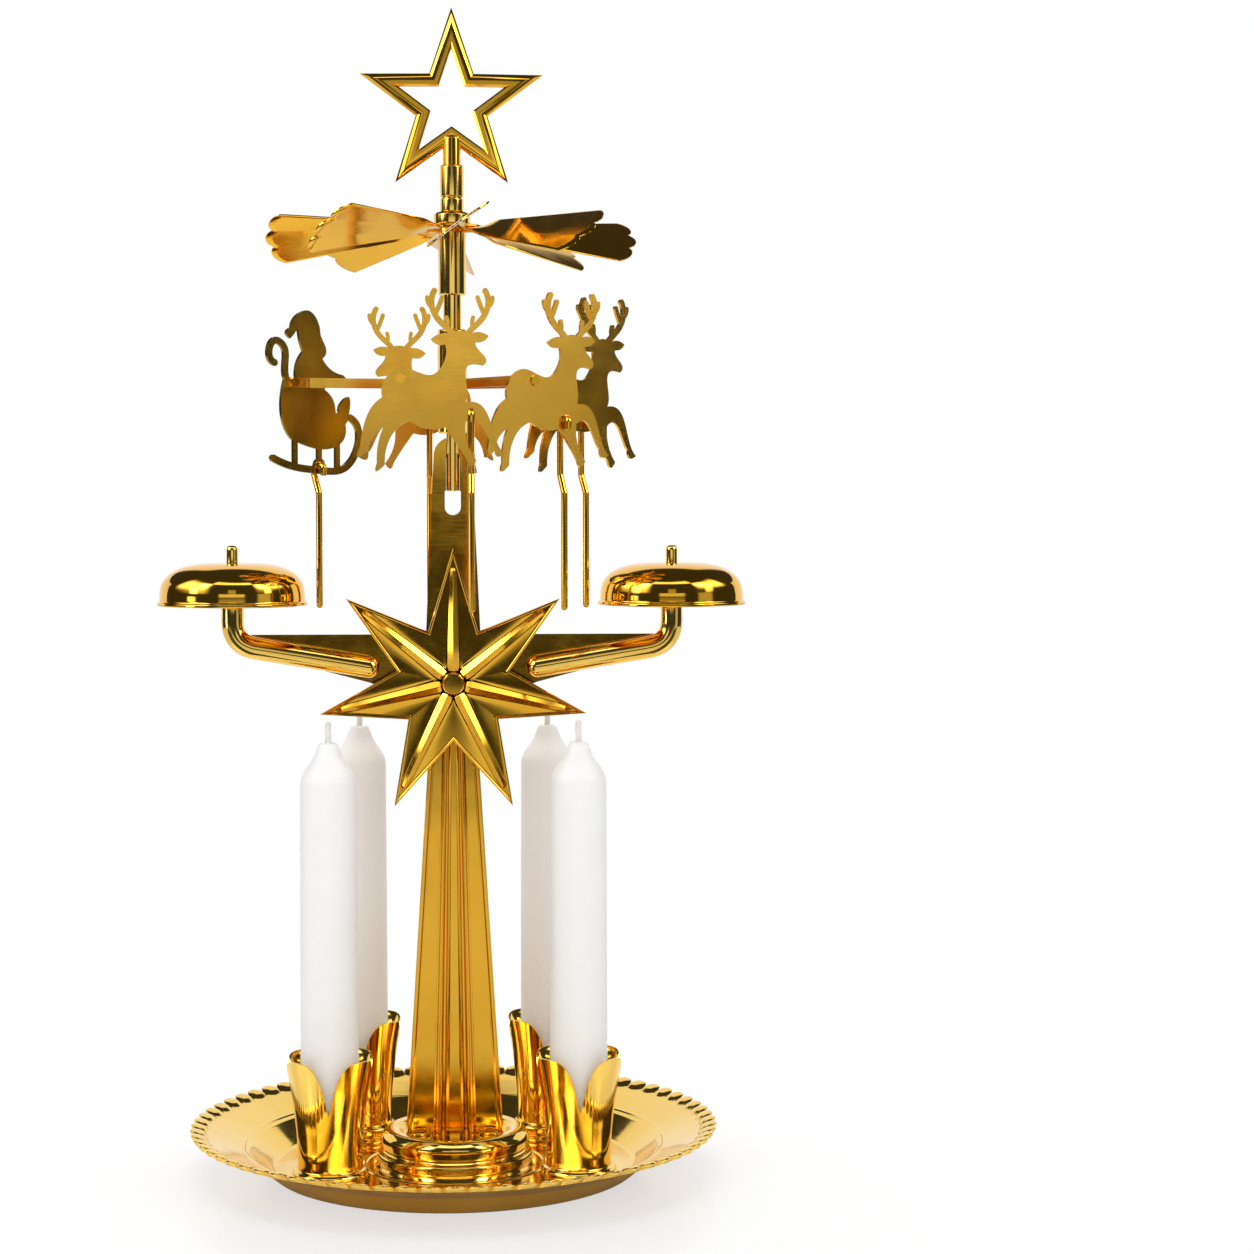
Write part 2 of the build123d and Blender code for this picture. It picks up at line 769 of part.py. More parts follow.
# Topper: open star with bevelled edges on a round stem
with BuildPart() as topper_star:
    with BuildSketch(front_plane(0, topper_height)):
        with BuildLine():
            Polyline(*star_outline(5, topper_radius, topper_notch_radius), close=True)
        make_face()
        offset(amount=-topper_band, kind=Kind.INTERSECTION, mode=Mode.SUBTRACT)
    extrude(amount=topper_thickness / 2, both=True)
    faces_front_back = topper_star.faces().filter_by(Axis.Y).sort_by(Axis.Y)
    chamfer(faces_front_back[0].edges() + faces_front_back[-1].edges(), topper_chamfer)
    stem_foot = tube_top + socket_floor
    stem_top = topper_height - topper_notch_radius + topper_band / 2
    with BuildSketch(Plane.XY.offset(stem_foot)):
        Circle(stem_radius)
    extrude(amount=stem_top - stem_foot)
save(topper_star, "topper_star")


def stepped(points):
    """Points of an outline, from steps to millimetres."""
    return [(outline_step * x, outline_step * y) for x, y in points]


def stretch(points):
    """One stretch of an outline on the line in hand: straight through two points, smooth through more."""
    if len(points) > 2:
        Spline(*stepped(points))
    else:
        Line(*stepped(points))


def filled(rows):
    """The shape inside an outline, on the sketch in hand."""
    with BuildLine() as outline:
        for row in rows:
            stretch(row)
    make_face(outline.edges())


def stroke(points, width):
    """A line of even width with round ends, on the sketch in hand."""
    with BuildLine() as line:
        stretch(points)
    trace(line.line, line_width=outline_step * width)
    with Locations(*stepped([points[0], points[-1]])):
        Circle(outline_step * width / 2)


# Outline of a galloping reindeer, from the rump over the back: each row is one smooth stretch.
# In this outline X is forward and Y is up from the figures' zero line.
reindeer_rows = [
    [(-10.6, 0.5), (-9.6, 5.2), (-6.2, 7.6), (-2.5, 6.6), (1.4, 5.9), (3.6, 8.0), (4.3, 13.0)],
    [(4.3, 13.0), (2.6, 12.9), (0.9, 14.2)],
    [(0.9, 14.2), (2.9, 15.4), (5.4, 15.5)],
    [(5.4, 15.5), (7.8, 16.2), (10.2, 15.5)],
    [(10.2, 15.5), (12.5, 15.9), (14.6, 15.0)],
    [(14.6, 15.0), (13.2, 13.7), (11.5, 13.5)],
    [(11.5, 13.5), (12.7, 11.2), (14.0, 9.3), (13.2, 8.0)],
    [(13.2, 8.0), (9.2, 7.2), (9.4, 3.2), (9.0, -0.6)],
    [(9.0, -0.6), (12.6, -1.2), (15.4, -6.6), (18.4, -12.8)],
    [(18.4, -12.8), (16.4, -13.4), (15.9, -11.4)],
    [(15.9, -11.4), (13.0, -6.2), (11.4, -4.6), (9.0, -5.4)],
    [(9.0, -5.4), (9.1, -9.0), (11.6, -14.4)],
    [(11.6, -14.4), (10.2, -15.8), (9.3, -14.2)],
    [(9.3, -14.2), (6.2, -9.4), (4.2, -6.6)],
    [(4.2, -6.6), (-0.1, -6.9), (-4.0, -5.1)],
    [(-4.0, -5.1), (-7.4, -7.2), (-9.2, -10.2), (-10.0, -15.4)],
    [(-10.0, -15.4), (-12.2, -16.9), (-11.9, -14.9)],
    [(-11.9, -14.9), (-11.4, -9.6), (-10.4, -6.6)],
    [(-10.4, -6.6), (-12.4, -8.2), (-14.0, -12.0)],
    [(-14.0, -12.0), (-16.6, -13.6), (-15.9, -11.4)],
    [(-15.9, -11.4), (-14.8, -5.6), (-13.2, -2.0), (-10.6, 0.5)],
]
antler_middle = 7.8
antler_rows = [
    ([(1.2, -1.2), (3.0, 1.0), (5.2, 3.2), (6.6, 6.2), (6.0, 9.8)], 1.4),
    ([(5.8, 4.2), (5.0, 6.0), (4.2, 8.2)], 1.1),
    ([(6.5, 5.8), (7.4, 6.8), (7.7, 8.2)], 1.0),
    ([(3.1, 1.0), (2.9, 2.3), (3.1, 3.5)], 1.0),
]
antler_root_height = 15.8


def reindeer_shape():
    """Flat reindeer with two antlers."""
    with BuildSketch() as shape:
        filled(reindeer_rows)
        for side in (-1, 1):
            for points, width in antler_rows:
                stroke(
                    [(antler_middle + side * x, antler_root_height + y) for x, y in points], width
                )
    return shape.sketch


# Outline of the sleigh's tub with its rider, from the back of the tub over the cap
tub_rows = [
    [(-8.6, -8.9), (-11.2, -4.6), (-11.7, 0.4), (-10.4, 6.4)],
    [(-10.4, 6.4), (-7.2, 5.4)],
    [(-7.2, 5.4), (-7.0, 9.4), (-5.0, 12.6)],
    [(-5.0, 12.6), (-5.9, 15.2), (-6.4, 18.4)],
    [(-6.4, 18.4), (-7.2, 17.2), (-8.8, 15.6)],
    [(-8.8, 15.6), (-10.0, 17.0), (-8.6, 18.4)],
    [(-8.6, 18.4), (-6.6, 21.6), (-3.0, 22.6), (-0.2, 19.8), (0.4, 17.2)],
    [(0.4, 17.2), (1.2, 15.4), (2.2, 13.2), (1.0, 11.0)],
    [(1.0, 11.0), (3.6, 8.4), (7.2, 7.2)],
    [(7.2, 7.2), (8.4, 6.0), (7.0, 4.8)],
    [(7.0, 4.8), (3.6, 5.2), (1.6, 3.4)],
    [(1.6, 3.4), (4.2, 1.0), (5.0, -2.2)],
    [(5.0, -2.2), (6.2, -2.4)],
    [(6.2, -2.4), (7.2, 0.8), (9.0, 1.8), (9.4, -1.4), (8.0, -5.0)],
    [(8.0, -5.0), (7.0, -9.4), (3.9, -11.0), (-3.0, -10.8), (-8.6, -8.9)],
]
sleigh_eye = (0.0, -15.2)
back_scroll = [(-9.2, 4.8), (-10.2, 9.6), (-10.6, 13.6), (-13.4, 15.0), (-15.0, 12.2), (-13.4, 9.6)]
runner_foot = [(-14.0, -13.6), (-8.0, -15.6), (0.0, -16.5), (7.6, -16.0)]
runner_curl = [(11.6, -11.6), (12.0, -5.6), (9.6, -3.4)]
sleigh_strokes = [
    (back_scroll, 1.7),
    (runner_foot + runner_curl, 1.8),
    ([(-7.4, -8.4), (-7.4, -15.6)], 1.4),
    ([(0.0, -8.4), (0.0, -15.6)], 1.4),
    ([(5.6, -8.4), (5.6, -15.6)], 1.4),
]


def sleigh_shape():
    """Flat sleigh with a capped rider, a scrolled back, struts and a runner."""
    with BuildSketch() as shape:
        filled(tub_rows)
        for points, width in sleigh_strokes:
            stroke(points, width)
        with Locations(*stepped([sleigh_eye])):
            Circle(striker_radius + running + figure_sheet)
    return shape.sketch


def figure_plane(place, heading):
    """Upright plane of a figure: its own X is the way it runs, its own Y is up."""
    run = Vector(cos(radians(heading)), sin(radians(heading)), 0)
    return Plane((place[0], place[1], figure_height), x_dir=run, z_dir=run.cross(Vector(0, 0, 1)))


# Each figure: where it stands, the way it runs, on which face its holder lies, the stretch of
# the figure that the holder covers, and where its striker hangs
figures = [
    ("sleigh", (-33.0, -3.0), 40.0, 1, (-4.0, -10.5), sleigh_eye),
    ("reindeer_1", (-6.0, -33.0), 0.0, -1, (-2.0, -8.5), (10.4, -2.8)),
    ("reindeer_2", (22.0, -22.4), 30.0, -1, (-7.0, -0.5), (5.8, -4.0)),
    ("reindeer_3", (31.0, -5.5), 36.0, -1, (-8.0, -1.5), (2.5, -3.5)),
    ("reindeer_4", (-6.0, 33.0), 180.0, -1, (-2.0, -8.5), (0.0, -3.5)),
]
holder_level = holder_height + holder_depth / 2 - figure_height
holder_angles = []
rivet_planes = []

for number, (name, place, heading, side, cover, hang) in enumerate(figures, start=1):
    place, hang = stepped([place, hang])
    near, far = [outline_step * x for x in cover]
    plane = figure_plane(place, heading)
    rivet_spot = (near + rivet_share * (far - near), holder_level)
    holder_gap = side * (figure_sheet + holder_sheet) / 2
    bend = plane.from_local_coords((near, 0, holder_gap))
    end = plane.from_local_coords((far, 0, holder_gap))
    angle = atan2(bend.Y, bend.X)
    holder_angles.append(degrees(angle))
    rivet_planes.append((Plane(plane.from_local_coords((*rivet_spot, 0)), z_dir=plane.z_dir), side))

    with BuildPart() as figure:
        with BuildSketch(plane):
            add(sleigh_shape() if name == "sleigh" else reindeer_shape())
            with Locations(hang):
                Circle(striker_radius + running, mode=Mode.SUBTRACT)
            with Locations(rivet_spot):
                Circle(small_rivet_radius + slip, mode=Mode.SUBTRACT)
        extrude(amount=figure_sheet / 2, both=True)
    save(figure, name)

    with BuildPart() as holder:
        with BuildSketch(Plane.XY.offset(holder_height)):
            with BuildLine():
                FilletPolyline(
                    (holder_root_radius * cos(angle), holder_root_radius * sin(angle)),
                    (bend.X, bend.Y),
                    (end.X, end.Y),
                    radius=holder_bend_radius,
                )
            trace(line_width=holder_sheet)
        extrude(amount=holder_depth)
        with BuildSketch(rivet_planes[-1][0]):
            Circle(small_rivet_radius + slip)
        extrude(amount=2 * holder_gap, mode=Mode.SUBTRACT)
    save(holder, f"holder_{number}")

    with BuildPart() as striker:
        eye = plane.from_local_coords((*hang, 0))
        out = plane.z_dir * hook_reach
        with BuildLine() as wire:
            FilletPolyline(
                eye + out - Vector(0, 0, hook_drop),
                eye + out,
                eye - out,
                Vector(eye.X, eye.Y, kink_height) - out,
                Vector(eye.X, eye.Y, kink_height - kink_drop),
                Vector(eye.X, eye.Y, striker_foot_height),
                radius=hook_bend_radius,
            )
        with BuildSketch(Plane(wire.line @ 0, z_dir=wire.line % 0)):
            Circle(striker_radius)
        sweep()
    save(striker, f"striker_{number}")

# Figure rivets: one through each holder and its figure
with BuildPart() as figure_rivets:
    for plane, side in rivet_planes:
        holder_face = figure_sheet / 2 + holder_sheet
        with BuildSketch(plane.offset(-side * figure_sheet / 2)):
            Circle(small_rivet_head_radius)
        extrude(amount=-side * small_rivet_head_height)
        with BuildSketch(plane.offset(-side * figure_sheet / 2)):
            Circle(small_rivet_radius)
        extrude(amount=side * (figure_sheet + holder_sheet))
        with BuildSketch(plane.offset(side * holder_face)):
            Circle(small_rivet_head_radius)
        extrude(amount=side * small_rivet_head_height)
save(figure_rivets, "figure_rivets")

# Figure hub: sleeve with a slot for the root of each holder
with BuildPart() as figure_hub:
    sleeve(figure_hub_radius, sleeve_bore_radius, figure_hub_foot, figure_hub_top)
    for angle in holder_angles:
        with Locations(Location((0, 0, holder_height - slip), (0, 0, angle))):
            with Locations((holder_root_radius - slip, 0, 0)):
                Box(
                    figure_hub_radius,
                    holder_sheet + 2 * slip,
                    holder_depth + 2 * slip,
                    align=(Align.MIN, Align.CENTER, Align.MIN),
                    mode=Mode.SUBTRACT,
                )
save(figure_hub, "figure_hub")
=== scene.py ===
import json
import math

import bmesh
import bpy
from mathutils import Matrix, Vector


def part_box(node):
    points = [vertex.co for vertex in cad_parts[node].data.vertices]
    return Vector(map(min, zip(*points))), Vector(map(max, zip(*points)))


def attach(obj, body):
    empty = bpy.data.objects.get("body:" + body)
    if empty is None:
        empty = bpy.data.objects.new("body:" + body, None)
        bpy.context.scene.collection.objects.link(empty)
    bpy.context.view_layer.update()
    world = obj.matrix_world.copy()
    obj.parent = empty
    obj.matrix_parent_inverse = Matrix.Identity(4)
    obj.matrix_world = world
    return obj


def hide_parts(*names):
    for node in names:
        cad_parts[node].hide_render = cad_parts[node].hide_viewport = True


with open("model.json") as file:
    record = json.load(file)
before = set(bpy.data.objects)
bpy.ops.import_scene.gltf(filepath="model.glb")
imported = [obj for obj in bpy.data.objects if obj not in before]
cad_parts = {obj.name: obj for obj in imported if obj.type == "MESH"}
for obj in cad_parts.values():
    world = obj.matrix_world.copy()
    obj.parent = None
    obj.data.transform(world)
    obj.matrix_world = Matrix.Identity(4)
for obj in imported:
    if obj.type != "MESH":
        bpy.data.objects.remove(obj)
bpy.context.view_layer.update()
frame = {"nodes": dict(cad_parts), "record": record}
nodes = frame["nodes"]

# Angel chime carousel in polished brass. Lengths in the script are millimetres, and MM turns
# them into the scene's metres. The spindle is the Z axis and the star plate faces -Y.
MM = 0.001

# Photograph's square frame in pixels, and the camera that took it
PHOTO_SIDE = 1254
FOCAL_PIXELS = 2692.0
AXIS_PIXEL_X = 453.0
HORIZON_PIXEL_Y = 491.0
CAMERA_DISTANCE = 673.0
CAMERA_HEIGHT = 170.0
SENSOR_WIDTH = 36.0

# Smoothness of round pieces and corners
LATHE_SEGMENTS = 144
CORNER_STEPS = 7
BEND_SHARE = 0.49
STRAIGHT_TURN = 1e-4
WELD_DISTANCE = 1e-4
SHARP_ANGLE = 35.0


def node_centre(name):
    """Middle of a frame node in millimetres."""
    low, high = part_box(name)
    return (Vector(low) / MM + Vector(high) / MM) / 2


# Lines and outlines


def corner_arc(before, here, after, radius, steps):
    """Points of the arc that rounds a corner, or the corner itself where the line runs straight."""
    back, ahead = before - here, after - here
    turn = math.pi - back.angle(ahead)
    if turn < STRAIGHT_TURN:
        return [here]
    reach = min(radius * math.tan(turn / 2), BEND_SHARE * back.length, BEND_SHARE * ahead.length)
    start, end = here + back.normalized() * reach, here + ahead.normalized() * reach
    shares = [k / steps for k in range(steps + 1)]
    return [start.lerp(here, t).lerp(here.lerp(end, t), t) for t in shares]


def rounded(corners, closed=False, steps=CORNER_STEPS):
    """A line whose corners are arcs. Each corner is (x, y, radius), and radius 0 stays sharp."""
    places = [Vector((x, y)) for x, y, _ in corners]
    count = len(corners)
    line = []
    for i, (_, _, radius) in enumerate(corners):
        if radius <= 0 or (not closed and i in (0, count - 1)):
            line.append(places[i])
        else:
            line += corner_arc(places[i - 1], places[i], places[(i + 1) % count], radius, steps)
    return line


def bent_path(corners, radius, steps):
    """A line in space whose inner corners are rounded."""
    line = [corners[0]]
    for before, here, after in zip(corners, corners[1:], corners[2:]):
        line += corner_arc(before, here, after, radius, steps)
    return line + [corners[-1]]


def smooth(points, steps):
    """A smooth line through all the points."""
    points = [Vector(p) for p in points]
    padded = [2 * points[0] - points[1]] + points + [2 * points[-1] - points[-2]]
    line = []
    for a, b, c, d in zip(padded, padded[1:], padded[2:], padded[3:]):
        for k in range(steps):
            t = k / steps
            line.append(
                0.5 * (2 * b + (c - a) * t + (2 * a - 5 * b + 4 * c - d) * t**2
                       + (3 * b - a - 3 * c + d) * t**3)
            )
    line.append(points[-1])
    return line


def round_end(end, outward, radius, steps):
    """Centres and radii that round off the end of a rod, from its full width outward."""
    angles = [math.pi / 2 * k / steps for k in range(1, steps)]
    centres = [end + outward * (radius * math.sin(a)) for a in angles]
    return centres, [radius * math.cos(a) for a in angles]


def inset_corners(corners, amount):
    """Corners of a closed polygon, listed counter-clockwise, with every side moved inward."""
    moved = []
    corners = [Vector(c) for c in corners]
    for before, here, after in zip(corners[-1:] + corners, corners, corners[1:] + corners[:1]):
        first, second = (here - before).normalized(), (after - here).normalized()
        normal_1, normal_2 = Vector((-first.y, first.x)), Vector((-second.y, second.x))
        bisector = (normal_1 + normal_2).normalized()
        moved.append(here + bisector * (amount / bisector.dot(normal_1)))
    return moved


def star_corners(count, tip_radius, notch_radius, height):
    """Corners of an upright star as (x, z), counter-clockwise from its top tip."""
    corners = []
    for i in range(2 * count):
        angle = math.pi / 2 + math.pi * i / count
        radius = notch_radius if i % 2 else tip_radius
        corners.append((radius * math.cos(angle), height + radius * math.sin(angle)))
    return corners


# Shells: lists of points and of faces


def grid_faces(rows, columns, around_rows=False, around_columns=False, flip=False):
    """Faces of a grid of points that was listed row by row."""
    faces = []
    for i in range(rows if around_rows else rows - 1):
        for j in range(columns if around_columns else columns - 1):
            a = i * columns + j
            b = i * columns + (j + 1) % columns
            c = ((i + 1) % rows) * columns + (j + 1) % columns
            d = ((i + 1) % rows) * columns + j
            faces.append((d, c, b, a) if flip else (a, b, c, d))
    return faces


def tube_faces(rows, columns):
    """Faces of a grid that closes sideways, with a flat face on each end."""
    ends = [tuple(range(columns)), tuple(range((rows - 1) * columns, rows * columns))]
    return grid_faces(rows, columns, around_columns=True) + ends


def lathe(profile, centre=(0, 0), segments=LATHE_SEGMENTS):
    """A closed profile of (radius, height) turned about a vertical line."""
    points = []
    for k in range(segments):
        angle = 2 * math.pi * k / segments
        c, s = math.cos(angle), math.sin(angle)
        points += [(centre[0] + r * c, centre[1] + r * s, z) for r, z in profile]
    return points, grid_faces(segments, len(profile), True, True)


def front_lathe(profile, height):
    """A closed profile of (radius, y) turned about a level line that runs front to back."""
    points, faces = lathe(profile, segments=64)
    return [(x, y, height + z) for x, z, y in points], faces


def turned_rows(rows, centre=(0, 0)):
    """Points of rows of (radius, height), each row spread evenly about a vertical line."""
    points = []
    for row in rows:
        for k, (r, z) in enumerate(row):
            angle = 2 * math.pi * k / len(row)
            points.append((centre[0] + r * math.cos(angle), centre[1] + r * math.sin(angle), z))
    return points


def sweep(path, radii, sides):
    """A round rod along a path, with a radius at each of its points and flat ends."""
    last = len(path) - 1
    ahead = [(path[min(i + 1, last)] - path[max(i - 1, 0)]).normalized() for i in range(last + 1)]
    side = ahead[0].orthogonal().normalized()
    points = []
    for here, forward, radius in zip(path, ahead, radii):
        side = (side - forward * side.dot(forward)).normalized()
        other = forward.cross(side)
        for k in range(sides):
            angle = 2 * math.pi * k / sides
            points.append(here + (side * math.cos(angle) + other * math.sin(angle)) * radius)
    return points, tube_faces(len(path), sides)


def band(corners, profile):
    """A mitred band along a closed polygon of (x, z). The closed profile is (inset, y) pairs."""
    rings = [[(c.x, y, c.y) for c in inset_corners(corners, inset)] for inset, y in profile]
    points = [point for ring in rings for point in ring]
    return points, grid_faces(len(rings), len(corners), True, True)


def merge(*shells):
    """Several shells as one."""
    points, faces = [], []
    for more_points, more_faces in shells:
        start = len(points)
        points += more_points
        faces += [tuple(start + i for i in face) for face in more_faces]
    return points, faces


# Finishes


def add_node(tree, kind, **settings):
    """A node with its properties set, and inputs given by name as a dict."""
    node = tree.nodes.new(kind)
    inputs = settings.pop("inputs", {})
    for key, value in settings.items():
        setattr(node, key, value)
    for key, value in inputs.items():
        node.inputs[key].default_value = value
    return node


def object_place(tree):
    """The place on a piece, in the piece's own frame."""
    return add_node(tree, "ShaderNodeTexCoord").outputs["Object"]


def noise(tree, vector, scale, detail=3.0, roughness=0.5):
    """A noise texture read at a vector."""
    node = add_node(tree, "ShaderNodeTexNoise",
                    inputs={"Scale": scale, "Detail": detail, "Roughness": roughness})
    tree.links.new(vector, node.inputs["Vector"])
    return node.outputs["Fac"]


def feed(tree, place, value):
    """A number or a colour set on a socket, or another socket linked to it."""
    if isinstance(value, (int, float, tuple)):
        place.default_value = value
    else:
        tree.links.new(value, place)


def spread(tree, value, low, high, to_low, to_high):
    """A value mapped from one range to another. The ends may be numbers or sockets."""
    node = add_node(tree, "ShaderNodeMapRange")
    tree.links.new(value, node.inputs["Value"])
    for name, end in (("From Min", low), ("From Max", high), ("To Min", to_low), ("To Max", to_high)):
        feed(tree, node.inputs[name], end)
    return node.outputs["Result"]


def sums(tree, operation, first, second):
    """One step of arithmetic on two values, each a number or a socket."""
    node = add_node(tree, "ShaderNodeMath", operation=operation)
    for place, value in zip(node.inputs, (first, second)):
        feed(tree, place, value)
    return node.outputs["Value"]


def blend_colours(tree, factor, first, second):
    """Two colours mixed by a factor."""
    node = add_node(tree, "ShaderNodeMix", data_type="RGBA")
    tree.links.new(factor, node.inputs["Factor"])
    feed(tree, node.inputs[6], first)
    feed(tree, node.inputs[7], second)
    return node.outputs[2]


def make_brass_group():
    """Polished brass plate: warm drifts of tone, fine polishing lines, smudges and a faint sheet ripple."""
    group = bpy.data.node_groups.new("brass_plate", "ShaderNodeTree")
    for way, kind, names in (
        ("INPUT", "NodeSocketColor", ("Bright", "Deep")),
        ("INPUT", "NodeSocketFloat", ("Smooth", "Rough", "Ripple")),
        ("OUTPUT", "NodeSocketColor", ("Color",)),
        ("OUTPUT", "NodeSocketFloat", ("Roughness", "Height")),
    ):
        for name in names:
            group.interface.new_socket(name=name, in_out=way, socket_type=kind)
    given = group.nodes.new("NodeGroupInput")
    result = group.nodes.new("NodeGroupOutput")
    place = object_place(group)
    drift = noise(group, place, scale=38.0)
    smudge = noise(group, place, scale=160.0, detail=4.0, roughness=0.6)
    stretch = add_node(group, "ShaderNodeMapping", inputs={"Scale": (260.0, 260.0, 3200.0)})
    group.links.new(place, stretch.inputs["Vector"])
    lines = noise(group, stretch.outputs["Vector"], scale=1.0, detail=2.0)
    ripple = noise(group, place, scale=55.0, detail=1.0)
    patches = sums(group, "ADD", drift, sums(group, "MULTIPLY", smudge, 0.35))
    tone = spread(group, patches, 0.5, 0.85, 0.0, 1.0)
    colour = blend_colours(group, tone, given.outputs["Deep"], given.outputs["Bright"])
    group.links.new(colour, result.inputs["Color"])
    haze = sums(group, "MULTIPLY", sums(group, "ADD", smudge, sums(group, "MULTIPLY", lines, 0.6)), 0.62)
    polish = spread(group, haze, 0.35, 0.66, given.outputs["Smooth"], given.outputs["Rough"])
    group.links.new(polish, result.inputs["Roughness"])
    group.links.new(sums(group, "MULTIPLY", ripple, given.outputs["Ripple"]), result.inputs["Height"])
    return group


brass_group = make_brass_group()


def principled(name):
    """A new material with its Principled shader."""
    material = bpy.data.materials.new(name)
    material.use_nodes = True
    return material, material.node_tree, material.node_tree.nodes["Principled BSDF"]


def bumped(tree, shader, height, distance):
    """A height fed to the shader as bump, with the distance in millimetres."""
    bump = add_node(tree, "ShaderNodeBump", inputs={"Strength": 1.0, "Distance": distance * MM})
    tree.links.new(height, bump.inputs["Height"])
    tree.links.new(bump.outputs["Normal"], shader.inputs["Normal"])


RIPPLE_DEPTH = 0.35


def brass(name, tones, polish, ripple):
    """One brass finish from the shared plate group: bright and deep tone, smooth and rough end, ripple."""
    material, tree, shader = principled(name)
    plate = add_node(tree, "ShaderNodeGroup", node_tree=brass_group, inputs={
        "Bright": (*tones[0], 1), "Deep": (*tones[1], 1),
        "Smooth": polish[0], "Rough": polish[1], "Ripple": ripple,
    })
    shader.inputs["Metallic"].default_value = 1.0
    tree.links.new(plate.outputs["Color"], shader.inputs["Base Color"])
    tree.links.new(plate.outputs["Roughness"], shader.inputs["Roughness"])
    bumped(tree, shader, plate.outputs["Height"], RIPPLE_DEPTH)
    return material


GOLD = ((0.90, 0.505, 0.05), (0.86, 0.45, 0.037))
PALE_GOLD = ((0.93, 0.62, 0.14), (0.89, 0.56, 0.10))
SATIN_GOLD = ((0.94, 0.55, 0.075), (0.90, 0.50, 0.055))
# Painted shade: the sleigh's darker, browner brass is a shaded copy of the figures' sheet brass
SHADED_GOLD = ((0.48, 0.345, 0.06), (0.41, 0.29, 0.045))
finish = {
    "brass_sheet": brass("satin_brass_sheet", SATIN_GOLD, (0.18, 0.27), 0.25),
    "brass_shaded_sleigh": brass("shaded_brass_sheet", SHADED_GOLD, (0.16, 0.25), 0.25),
    "brass_tray": brass("polished_tray_brass", PALE_GOLD, (0.07, 0.17), 0.5),
    "brass_drawn": brass("drawn_brass", PALE_GOLD, (0.05, 0.13), 0.7),
    "brass_frame": brass("pressed_frame_brass", GOLD, (0.08, 0.17), 0.45),
    "brass_turned": brass("turned_brass", PALE_GOLD, (0.06, 0.12), 0.04),
    "brass_rivet": brass("rivet_brass", GOLD, (0.08, 0.18), 0.1),
    "brass_star": brass("star_brass", GOLD, (0.06, 0.14), 0.35),
    "brass_rotor": brass("blade_brass", GOLD, (0.07, 0.16), 0.6),
    "brass_bell": brass("bell_brass", GOLD, (0.05, 0.10), 0.02),
    "brass_wire": brass("wire_brass", GOLD, (0.08, 0.15), 0.03),
}


def make_steel():
    """Hardened steel of the bearing cup."""
    material, tree, shader = principled("bearing_steel")
    shader.inputs["Metallic"].default_value = 1.0
    grain = noise(tree, object_place(tree), scale=2500.0)
    tree.links.new(spread(tree, grain, 0.3, 0.7, 0.22, 0.4), shader.inputs["Roughness"])
    colour = blend_colours(tree, grain, (0.5, 0.5, 0.52, 1), (0.68, 0.68, 0.7, 1))
    tree.links.new(colour, shader.inputs["Base Color"])
    return material


def make_wax():
    """White candle wax: a little light passes through it, with cloudy drifts and tiny dimples."""
    material, tree, shader = principled("white_wax")
    place = object_place(tree)
    cloud = noise(tree, place, scale=70.0, detail=4.0)
    dimple = noise(tree, place, scale=620.0)
    colour = blend_colours(tree, cloud, (0.90, 0.895, 0.88, 1), (0.95, 0.95, 0.94, 1))
    tree.links.new(colour, shader.inputs["Base Color"])
    tree.links.new(spread(tree, dimple, 0.3, 0.7, 0.34, 0.5), shader.inputs["Roughness"])
    shader.inputs["Subsurface Weight"].default_value = 0.35
    shader.inputs["Subsurface Radius"].default_value = (1.0, 0.9, 0.8)
    shader.inputs["Subsurface Scale"].default_value = 3.0 * MM
    shader.inputs["Specular IOR Level"].default_value = 0.25
    height = sums(tree, "ADD", sums(tree, "MULTIPLY", cloud, 0.8), sums(tree, "MULTIPLY", dimple, 0.12))
    bumped(tree, shader, height, 0.25)
    return material


def make_wick():
    """Braided cotton, whitened by its wax."""
    material, tree, shader = principled("waxed_cotton")
    fibre = noise(tree, object_place(tree), scale=2600.0)
    colour = blend_colours(tree, fibre, (0.74, 0.71, 0.64, 1), (0.9, 0.88, 0.84, 1))
    tree.links.new(colour, shader.inputs["Base Color"])
    tree.links.new(spread(tree, fibre, 0.3, 0.7, 0.55, 0.8), shader.inputs["Roughness"])
    bumped(tree, shader, fibre, 0.12)
    return material


finish["pivot_steel"] = make_steel()
finish["candle_wax"] = make_wax()
finish["wick_cotton"] = make_wick()
slot_of = {row["node"]: row["material_slot"] for row in frame["record"]["subparts"]}
for name, thing in nodes.items():
    thing.data.materials.clear()
    # The sleigh takes the darker brass, which is painted shade
    thing.data.materials.append(finish["brass_shaded_sleigh" if name == "sleigh" else slot_of[name]])


def body_of(node):
    """The body that a frame node belongs to."""
    return next(body for body, names in frame["record"]["behaviour"]["bodies"].items() if node in names)


def stand_in(node, points, faces, sharp_angle=SHARP_ANGLE):
    """A detailed piece, given in millimetres, in the place, on the body and in the finish of a frame node."""
    name = f"{node}_form"
    mesh = bpy.data.meshes.new(name)
    mesh.from_pydata([Vector(p) * MM for p in points], [], faces)
    work = bmesh.new()
    work.from_mesh(mesh)
    bmesh.ops.remove_doubles(work, verts=work.verts, dist=WELD_DISTANCE * MM)
    bmesh.ops.recalc_face_normals(work, faces=work.faces)
    work.to_mesh(mesh)
    work.free()
    mesh.polygons.foreach_set("use_smooth", [True] * len(mesh.polygons))
    mesh.set_sharp_from_angle(angle=math.radians(sharp_angle))
    mesh.materials.append(finish[slot_of[node]])
    thing = bpy.data.objects.new(name, mesh)
    bpy.context.scene.collection.objects.link(thing)
    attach(thing, body_of(node))
    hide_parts(node)


